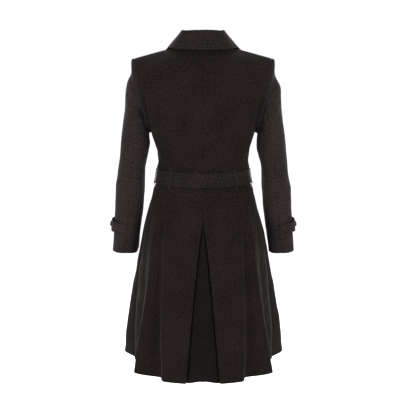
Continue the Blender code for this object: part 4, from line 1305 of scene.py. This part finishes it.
def build_belt_loops():
    """Loops over the belt: strips whose clearance eases from the coat up over the belt and back."""
    heights = np.linspace(BELT_LOW_Z - LOOP_SPARE, BELT_HIGH_Z + LOOP_SPARE, 45)
    beyond = np.abs(heights - BELT_Z) - (BELT_HIGH_Z - BELT_Z)
    over = smooth((LOOP_EASE_AT - beyond) / LOOP_EASE)
    offset = (LIE + (OVER_BELT - LIE) * over)[:, None, None]
    half = LOOP_HALF_WIDTH / AROUND_SPAN
    across = np.array([-1.03, -0.85, -0.42, 0.0, 0.42, 0.85, 1.03])
    round_off = (-LOOP_ROUND * across ** 4)[None, :, None]
    for name, place in (("back", float(princess(np.array(BELT_Z)))), ("side", 1.0)):
        for side_name, side in SIDES:
            around, height = np.meshgrid(side * (place + half * across), heights)
            normal = body_normal(around, height)
            points = body(around, height)
            outer = points + (offset + LOOP_WALL + round_off) * normal
            # The loops wear the lighter trim copy of the wool: painted light
            made = cloth_wall(f"loop_cloth_{name}_{side_name}", outer, points + offset * normal,
                              LIT_TRIM_WOOL)
            declare(made, f"belt_loop_{name}_{side_name}")


def tube_grid(path, frame_one, frame_two, profile):
    """Profile carried along a path: each point plus the profile in its two side directions."""
    one = frame_one[:, None, :] * profile[None, :, :1]
    two = frame_two[:, None, :] * profile[None, :, 1:]
    return path[:, None, :] + one + two


def ring_faces(rings, sides, closed):
    """Quads of a tube of rings, each a loop of sides; a closed tube joins its two end rings."""
    index = np.arange(rings * sides).reshape(rings, sides)
    index = np.concatenate([index, index[:, :1]], axis=1)
    if closed:
        index = np.concatenate([index, index[:1]], axis=0)
    return quads(index)


def superellipse(count, power, width, height):
    """Rounded box outline: a power of the cosine and sine of the turn, with their signs."""
    turn = np.linspace(0.0, 2 * np.pi, count, endpoint=False)
    across, up = (np.sign(wave) * np.abs(wave) ** power for wave in (np.cos(turn), np.sin(turn)))
    return np.stack([across * width / 2, up * height / 2], axis=-1)


def build_buckle():
    """Slide buckle: a rounded section carried round a superellipse, and a straight middle bar."""
    width, height = BUCKLE_WIDTH - BUCKLE_RAIL, BUCKLE_HEIGHT - BUCKLE_RAIL
    x, z = superellipse(96, BUCKLE_CORNER, width, height).T
    y = float(body(2.0, BELT_Z)[1]) - BUCKLE_LIFT - BUCKLE_WALL / 2
    path = np.stack([x, np.full_like(x, y), BELT_Z + z], axis=-1)
    along = unit(np.roll(path, -1, axis=0) - np.roll(path, 1, axis=0))
    front = np.broadcast_to(np.array([0.0, -1.0, 0.0]), path.shape)
    outward = unit(np.cross(along, front))
    soft = superellipse(BUCKLE_SIDES, BUCKLE_SOFT, BUCKLE_RAIL, BUCKLE_WALL)
    rail = tube_grid(path, outward, front, soft)
    rise = np.linspace(-height / 2, height / 2, 21)
    spine = np.stack([np.zeros_like(rise), np.full_like(rise, y), BELT_Z + rise], axis=-1)
    level = np.broadcast_to(np.array([1.0, 0.0, 0.0]), spine.shape)
    slim = soft * np.array([BUCKLE_BAR / BUCKLE_RAIL, BUCKLE_BAR_FLAT])
    bar = tube_grid(spine, level, front[:len(rise)], slim)
    points = np.concatenate([rail.reshape(-1, 3), bar.reshape(-1, 3)])
    faces = np.concatenate([ring_faces(len(path), BUCKLE_SIDES, True),
                            ring_faces(len(rise), BUCKLE_SIDES, False) + rail.size // 3])
    made = mesh_object("buckle_horn", points, outward_faces(points, faces), HORN)
    declare(made, "belt_buckle")


def outward_faces(points, faces):
    """Faces turned over where the shape's signed volume is negative."""
    a, b, c = points[faces[:, 0]], points[faces[:, 1]], points[faces[:, 2]]
    d = points[faces[:, 3]]
    volume = np.sum(a * np.cross(b, c)) + np.sum(a * np.cross(c, d))
    return faces if volume > 0 else faces[:, ::-1]


def stitches(name, lines):
    """Rows of thread stitches: four-sided bars over five stations, arched, thin at their ends."""
    points, faces, count = [], [], 0
    thick = np.array(STITCH_THICK) * STITCH_RADIUS
    station = np.linspace(-0.5, 0.5, len(thick))
    rise = np.cos(np.pi * station) * STITCH_RADIUS * STITCH_ARCH
    corner = np.radians(STITCH_CORNERS)
    for path, normal in lines:
        length = running(lengths(path))
        middle = np.arange(STITCH_PITCH / 2, length[-1] - STITCH_PITCH / 2, STITCH_PITCH)
        at = middle[:, None] + station[None, :] * STITCH_LENGTH
        place = np.stack([np.interp(at, length, path[:, k]) for k in range(3)], axis=-1)
        out = unit(np.stack([np.interp(at, length, normal[:, k]) for k in range(3)], axis=-1))
        along = unit(np.gradient(place, axis=1))
        side = np.cross(out, along)
        ring = (np.cos(corner)[:, None] * side[..., None, :]
                + np.sin(corner)[:, None] * out[..., None, :])
        grid = (place + rise[:, None] * out)[..., None, :] + thick[:, None, None] * ring
        index = np.arange(grid.size // 3).reshape(grid.shape[:-1]) + count
        around = np.concatenate([index, index[..., :1]], axis=-1)
        points.append(grid.reshape(-1, 3))
        faces += [quads(around), index[:, 0, ::-1], index[:, -1]]
        count += grid.size // 3
    made = mesh_object(name, np.concatenate(points), np.concatenate(faces), THREAD)
    declare(made, None)


def button_frame(normal):
    """Two directions across a button's face: level, and upright on the coat."""
    level = unit(np.cross(np.array([0.0, 0.0, 1.0]), normal))
    return level, np.cross(normal, level)


def build_button(name, solid, radius, place, normal, seat):
    """Sewn-through button: a turned profile with a rim and a dished face, four holes and thread.

    The face is the profile's rise less a bell at each hole; the profile runs from the middle of the
    back over the rim to the middle of the face.
    """
    profile = np.array(BUTTON_PROFILE)
    turn = np.linspace(0.0, 2 * np.pi, 56, endpoint=False)
    across = profile[:, :1] * radius * np.cos(turn)
    upright = profile[:, :1] * radius * np.sin(turn)
    rise = np.broadcast_to(profile[:, 1:] * BUTTON_WALL, across.shape).copy()
    hole = HOLE_AT * radius
    face = np.arange(len(profile))[:, None] > BUTTON_FACE_ROW
    for dx, dy in ((1, 1), (1, -1), (-1, 1), (-1, -1)):
        away = np.hypot(across - dx * hole, upright - dy * hole)
        rise = rise - face * bell(away, HOLE_WIDTH * radius) * HOLE_DEPTH * BUTTON_WALL
    level, up = button_frame(normal)
    grid = place + across[..., None] * level + upright[..., None] * up
    grid = grid + (rise + seat)[..., None] * normal
    count = len(turn)
    points = np.concatenate([grid.reshape(-1, 3), [grid[0].mean(axis=0)], [grid[-1].mean(axis=0)]])
    around = np.arange(count)
    after, back_middle = np.roll(around, -1), np.full(count, grid.size // 3)
    last = count * (len(profile) - 1)
    ends = [np.stack([after, around, back_middle], axis=-1),
            np.stack([around + last, after + last, back_middle + 1], axis=-1)]
    sides = ring_faces(len(profile), count, False)
    corners = np.concatenate([sides[:, [0, 1, 2]], sides[:, [0, 2, 3]]] + ends)
    made = mesh_object(name, points, corners, HORN)
    declare(made, solid)
    share = np.linspace(-1.0, 1.0, 9)[:, None]
    lift = BUTTON_FACE * BUTTON_WALL + seat + THREAD_LIFT - THREAD_SINK * share ** 4
    paths = [place + share * hole * (level + way * up) + lift * normal for way in (1, -1)]
    thread_bars(name.replace("button", "button_thread"), paths, normal)


def thread_bars(name, paths, normal):
    """Thick threads: a ring carried along each path, thinned to its ends by a power of a sine."""
    points, faces, count = [], [], 0
    corner = np.linspace(0.0, 2 * np.pi, THREAD_SIDES, endpoint=False)
    cap = np.array([[0, 1, 2, 3], [0, 3, 4, 7], [4, 5, 6, 7]])
    for path in paths:
        side = np.cross(normal, unit(np.gradient(path, axis=0)))
        turn = np.linspace(THREAD_ROUND, np.pi - THREAD_ROUND, len(path))
        thick = THREAD_RADIUS * np.sin(turn) ** THREAD_POWER
        ring = np.cos(corner)[:, None] * side[:, None, :] + np.sin(corner)[:, None] * normal
        grid = path[:, None, :] + thick[:, None, None] * ring
        last = THREAD_SIDES * (len(path) - 1)
        points.append(grid.reshape(-1, 3))
        faces += [ring_faces(len(path), THREAD_SIDES, False) + count,
                  cap + count, cap[:, ::-1] + last + count]
        count += grid.size // 3
    points, faces = np.concatenate(points), np.concatenate(faces)
    made = mesh_object(name, points, outward_faces(points, faces), THREAD)
    declare(made, None)


def build_front_buttons():
    """Two columns of buttons on the right front."""
    number = 0
    for row in BUTTON_ROWS:
        share = math.asin(BUTTON_COLUMN_X / float(half_width(row.height))) / (math.pi / 2)
        for side in (-1.0, 1.0):
            number += 1
            around, height = np.array(side * (2.0 - share)), np.array(row.height)
            normal = body_normal(around, height)
            build_button(f"coat_button_{number}", f"front_button_{number}",
                         FRONT_BUTTON_RADIUS, body(around, height), normal, row.seat)


def tab_offset(angle):
    """Clearance under a tab: tight at the seam and the tip, loose over the outer side."""
    share = (angle - TAB_TO) / (TAB_FROM - TAB_TO)
    return LAY + TAB_LOOSE * np.sin(np.pi * limit(share)) ** TAB_LOOSE_POWER


def tab_face(share, level):
    """Left tab's place on the sleeve: share 0 at the seam to 1 at the tip, level -1 to 1 across.

    It widens from the seam on, and its tip is half an ellipse.
    """
    angle = TAB_FROM + (TAB_TO - TAB_FROM) * share
    half = TAB_SEAM_HALF + (TAB_END_HALF - TAB_SEAM_HALF) * smooth(share / TAB_WIDE_AT)
    half = half * np.sqrt(limit(1.0 - (limit(share - TAB_TIP_AT) / TAB_TIP) ** 2))
    along = sleeve_along(TAB_Z) + level * half
    normal = sleeve_normal(angle, along)
    return sleeve(angle, along), normal, tab_offset(angle)[..., None]


def build_cuff_tabs():
    """Tabs from the sleeves' back seams to their outer sides, stitched, each with a button."""
    share = np.concatenate([np.linspace(0.0, TAB_TIP_AT, 60), np.linspace(0.87, 0.998, 16)])
    half = np.array([0.4, 0.7, 0.78, 0.85, 0.92, 0.96])
    levels = np.concatenate([-half[::-1], [0.0], half])
    level, share = np.meshgrid(levels, share, indexing="ij")
    points, normal, offset = tab_face(share, level)
    crown = (ridge(TAB_GROOVE, np.abs(level)) - TAB_ROUND * np.abs(level) ** 4)[..., None]
    outer, inner = points + (offset + TAB_WALL + crown) * normal, points + offset * normal
    lines = edge_lines(tab_face, np.linspace(0.03, 0.93, 160), TAB_STITCH, TAB_WALL)
    spot = TAB_BUTTON_ANGLE + TAB_BUTTON_SPAN * np.array([-1.0, 0.0, 1.0])
    middle = np.full(3, float(sleeve_along(TAB_Z)))
    lift = (tab_offset(spot) + TAB_WALL)[:, None]
    face = sleeve(spot, middle) + lift * sleeve_normal(spot, middle)
    down = sleeve(spot[1], middle[1] + SHARE_STEP) - sleeve(spot[1], middle[1] - SHARE_STEP)
    out = unit(np.cross(down, face[2] - face[0]))
    for name, side in SIDES:
        grid = flip(outer, side)
        # The tabs wear the lighter copy of the wool: painted light
        made = cloth_wall("tab_cloth_" + name, grid, flip(inner, side), LIT_TAB_WOOL)
        declare(made, "cuff_tab_" + name)
        stitches("tab_stitching_" + name,
                 [(flip(path, side), flip(normal, side)) for path, normal in lines])
        build_button("tab_button_" + name, "cuff_button_" + name, CUFF_BUTTON_RADIUS,
                     flip(face[1], side), flip(out, side), CUFF_BUTTON_SEAT)


def set_sockets(owner, values):
    """Values set on input sockets by name, with an underscore for each space."""
    for name, value in values.items():
        owner.inputs[name.replace("_", " ")].default_value = value


def node(tree, kind, **values):
    """Shader node of a kind, with values set on its sockets."""
    made = tree.nodes.new(kind)
    set_sockets(made, values)
    return made


def new_look(name, **values):
    """Material, its node tree and its shader, with values set on the shader's sockets."""
    look = bpy.data.materials.new(name)
    look.use_nodes = True
    shader = look.node_tree.nodes["Principled BSDF"]
    set_sockets(shader, values)
    return look, look.node_tree, shader


def textures(tree, source, *made):
    """Texture nodes fed by one place socket; returns their value sockets."""
    for one in made:
        tree.links.new(source, one.inputs["Vector"])
    return [one.outputs["Fac"] for one in made]


def tone_ramp(tree, value, dark, light, low=0.0, high=1.0):
    """Colour from dark at the low value to light at the high one."""
    ramp = tree.nodes.new("ShaderNodeValToRGB")
    for element, place, colour in zip(ramp.color_ramp.elements, (low, high), (dark, light)):
        element.position = place
        element.color = (*colour, 1.0)
    tree.links.new(value, ramp.inputs["Fac"])
    return ramp.outputs["Color"]


def map_range(tree, value, **values):
    """Value carried from one range to another."""
    made = node(tree, "ShaderNodeMapRange", **values)
    tree.links.new(value, made.inputs["Value"])
    return made.outputs["Result"]


def add_bump(tree, shader, height, strength, distance):
    """Bump of the shader's normal by a height."""
    bump = node(tree, "ShaderNodeBump", Strength=strength, Distance=distance)
    tree.links.new(height, bump.inputs["Height"])
    tree.links.new(bump.outputs["Normal"], shader.inputs["Normal"])


def blend_values(tree, *parts):
    """Weighted sum of value sockets."""
    total = None
    for socket, weight in parts:
        scaled = tree.nodes.new("ShaderNodeMath")
        scaled.operation = "MULTIPLY_ADD"
        scaled.inputs[1].default_value = weight
        scaled.inputs[2].default_value = 0.0
        tree.links.new(socket, scaled.inputs[0])
        if total is not None:
            tree.links.new(total, scaled.inputs[2])
        total = scaled.outputs["Value"]
    return total


def wool_look(name, dark, light, head=0.0):
    """Napped wool twill: diagonal ribs and fibre noise in the weave's map, cloudy in the large.

    head is the length from the first row over which a painted shade on the sleeve's head fades:
    the colour grows from a set share of its own to the whole.
    """
    look, tree, shader = new_look(name, Sheen_Weight=0.035, Sheen_Roughness=0.42,
                                  Sheen_Tint=(1.0, 0.90, 0.88, 1.0), Specular_IOR_Level=0.04)
    place = tree.nodes.new("ShaderNodeUVMap")
    place.uv_map = "weave"
    twill = node(tree, "ShaderNodeTexWave", Scale=330.0, Distortion=3.0, Detail=2.0,
                 Detail_Scale=1.6)
    twill.bands_direction = "DIAGONAL"
    ribs, fibre, nap = textures(
        tree, place.outputs["UV"], twill,
        node(tree, "ShaderNodeTexNoise", Scale=1250.0, Detail=3.0, Roughness=0.65),
        node(tree, "ShaderNodeTexNoise", Scale=240.0, Detail=3.0, Roughness=0.6))
    cloud, = textures(
        tree, tree.nodes.new("ShaderNodeTexCoord").outputs["Object"],
        node(tree, "ShaderNodeTexNoise", Scale=14.0, Detail=4.0, Roughness=0.55))
    height = blend_values(tree, (ribs, 0.30), (fibre, 0.35), (nap, 0.35))
    tone = blend_values(tree, (height, 0.30), (nap, 0.58), (cloud, 0.12))
    colour = tone_ramp(tree, tone, dark, light, 0.44, 0.56)
    # Painted shade: the colour darkened at the sleeve's head, fading out over head metres from the
    # first row
    if head:
        parts = tree.nodes.new("ShaderNodeSeparateXYZ")
        tree.links.new(place.outputs["UV"], parts.inputs["Vector"])
        fade = map_range(tree, parts.outputs["Y"], From_Min=0.0, From_Max=head,
                         To_Min=HEAD_PAINTED_SHADE, To_Max=1.0)
        scaled = tree.nodes.new("ShaderNodeVectorMath")
        scaled.operation = "SCALE"
        tree.links.new(colour, scaled.inputs["Vector"])
        tree.links.new(fade, scaled.inputs["Scale"])
        colour = scaled.outputs["Vector"]
    tree.links.new(colour, shader.inputs["Base Color"])
    rough = map_range(tree, height, To_Min=0.80, To_Max=0.97)
    tree.links.new(rough, shader.inputs["Roughness"])
    add_bump(tree, shader, height, 0.55, 0.0007)
    return look


def horn_look():
    """Polished dark horn: brown streaks drawn out through it, and fine scratches in its gloss."""
    look, tree, shader = new_look("dark_horn", Coat_Weight=0.08, Coat_Roughness=0.22,
                                  Specular_IOR_Level=0.28)
    solid = tree.nodes.new("ShaderNodeTexCoord").outputs["Object"]
    stretch = node(tree, "ShaderNodeMapping", Scale=(260.0, 260.0, 55.0))
    tree.links.new(solid, stretch.inputs["Vector"])
    streak, = textures(
        tree, stretch.outputs["Vector"],
        node(tree, "ShaderNodeTexNoise", Scale=1.0, Detail=5.0, Roughness=0.6, Distortion=1.4))
    colour = tone_ramp(tree, streak, (0.007, 0.006, 0.006), (0.030, 0.020, 0.015), 0.36, 0.78)
    tree.links.new(colour, shader.inputs["Base Color"])
    scratch, = textures(tree, solid, node(tree, "ShaderNodeTexNoise", Scale=900.0, Detail=2.0))
    rough = map_range(tree, scratch, To_Min=0.32, To_Max=0.50)
    tree.links.new(rough, shader.inputs["Roughness"])
    add_bump(tree, shader, scratch, 0.12, 0.0003)
    return look


def thread_look():
    """Black sewing thread: twisted plies as fine slanted bands in the thread's own space."""
    look, tree, shader = new_look("black_thread", Sheen_Weight=0.05, Specular_IOR_Level=0.12,
                                  Roughness=0.6)
    twist = node(tree, "ShaderNodeTexWave", Scale=900.0, Distortion=1.0)
    twist.bands_direction = "DIAGONAL"
    plies, = textures(tree, tree.nodes.new("ShaderNodeTexCoord").outputs["Object"], twist)
    colour = tone_ramp(tree, plies, (0.004, 0.003, 0.003), (0.014, 0.011, 0.011))
    tree.links.new(colour, shader.inputs["Base Color"])
    add_bump(tree, shader, plies, 0.5, 0.0002)
    return look


def build_camera():
    """Camera behind the coat at collar height, tilted slightly down."""
    lens = bpy.data.cameras.new("camera")
    lens.lens = CAMERA_LENS
    lens.sensor_width = 36.0
    made = bpy.data.objects.new("camera", lens)
    made.location = (CAMERA_X, CAMERA_Y, CAMERA_Z)
    made.rotation_euler = (math.radians(90.0 - CAMERA_TILT), 0.0, math.pi)
    bpy.context.scene.collection.objects.link(made)
    bpy.context.scene.camera = made


def area_light(name, place, aim, size, power):
    """Large soft box at a place, turned towards an aim."""
    lamp = bpy.data.lights.new(name, "AREA")
    lamp.shape = "RECTANGLE"
    lamp.size, lamp.size_y = size
    lamp.energy = power
    made = bpy.data.objects.new(name, lamp)
    made.location = place
    heading = made.location.copy()
    heading.x, heading.y, heading.z = (b - a for a, b in zip(place, aim))
    made.rotation_euler = heading.to_track_quat("-Z", "Y").to_euler()
    bpy.context.scene.collection.objects.link(made)


def build_studio():
    """White room: even white surround, a pale floor, soft boxes at both sides and one above."""
    scene = bpy.context.scene
    scene.view_settings.view_transform = "Standard"
    world = bpy.data.worlds.new("white_room")
    world.use_nodes = True
    white = {"Color": (1.0, 1.0, 1.0, 1.0), "Strength": 1.0}
    set_sockets(world.node_tree.nodes["Background"], white)
    scene.world = world
    for name, side in (("soft_box_left", 1.0), ("soft_box_right", -1.0)):
        area_light(name, (side * 1.25, 1.15, -0.1), (side * 0.2, 0.0, -0.45), (0.6, 1.3),
                   SIDE_LIGHT)
        area_light("front_" + name, (side * 0.9, -1.9, 0.2), (0.0, 0.0, -0.45), (0.8, 1.3),
                   FILL_LIGHT)
    area_light("soft_box_above", (0.0, 0.5, 1.5), (0.0, 0.0, -0.2), (1.4, 0.9), TOP_LIGHT)
    look, _, _ = new_look("pale_floor", Base_Color=(0.86, 0.86, 0.86, 1.0), Roughness=0.9,
                          Emission_Color=(1.0, 1.0, 1.0, 1.0), Emission_Strength=0.25)
    corner = FLOOR_REACH * np.array([(-1.0, -1.0), (1.0, -1.0), (1.0, 1.0), (-1.0, 1.0)])
    points = np.concatenate([corner, np.full((4, 1), FLOOR_Z)], axis=1)
    floor = mesh_object("floor", points, np.array([[0, 1, 2, 3]]), look)


# One wool in lit and shaded copies: the trim, sleeve and tab copies are lighter as painted light,
# the pleat's darker as painted shade
WOOL = wool_look("charcoal_wool", *BODY_TONES)
LIT_TRIM_WOOL = wool_look("charcoal_wool_trim_painted_light", *LIT_TRIM_TONES)
LIT_SLEEVE_WOOL = wool_look("charcoal_wool_sleeve_painted_light", *LIT_SLEEVE_TONES, HEAD_SHADE_LENGTH)
LIT_TAB_WOOL = wool_look("charcoal_wool_tab", *LIT_SLEEVE_TONES)
SHADED_PLEAT_WOOL = wool_look("charcoal_wool_pleat_painted_shade", *SHADED_PLEAT_TONES)
HORN = horn_look()
THREAD = thread_look()

build_camera()
build_studio()
build_back()
build_pleat()
build_fronts()
build_sleeves()
build_collar()
build_lapels()
build_belt()
build_belt_loops()
build_buckle()
build_front_buttons()
build_cuff_tabs()
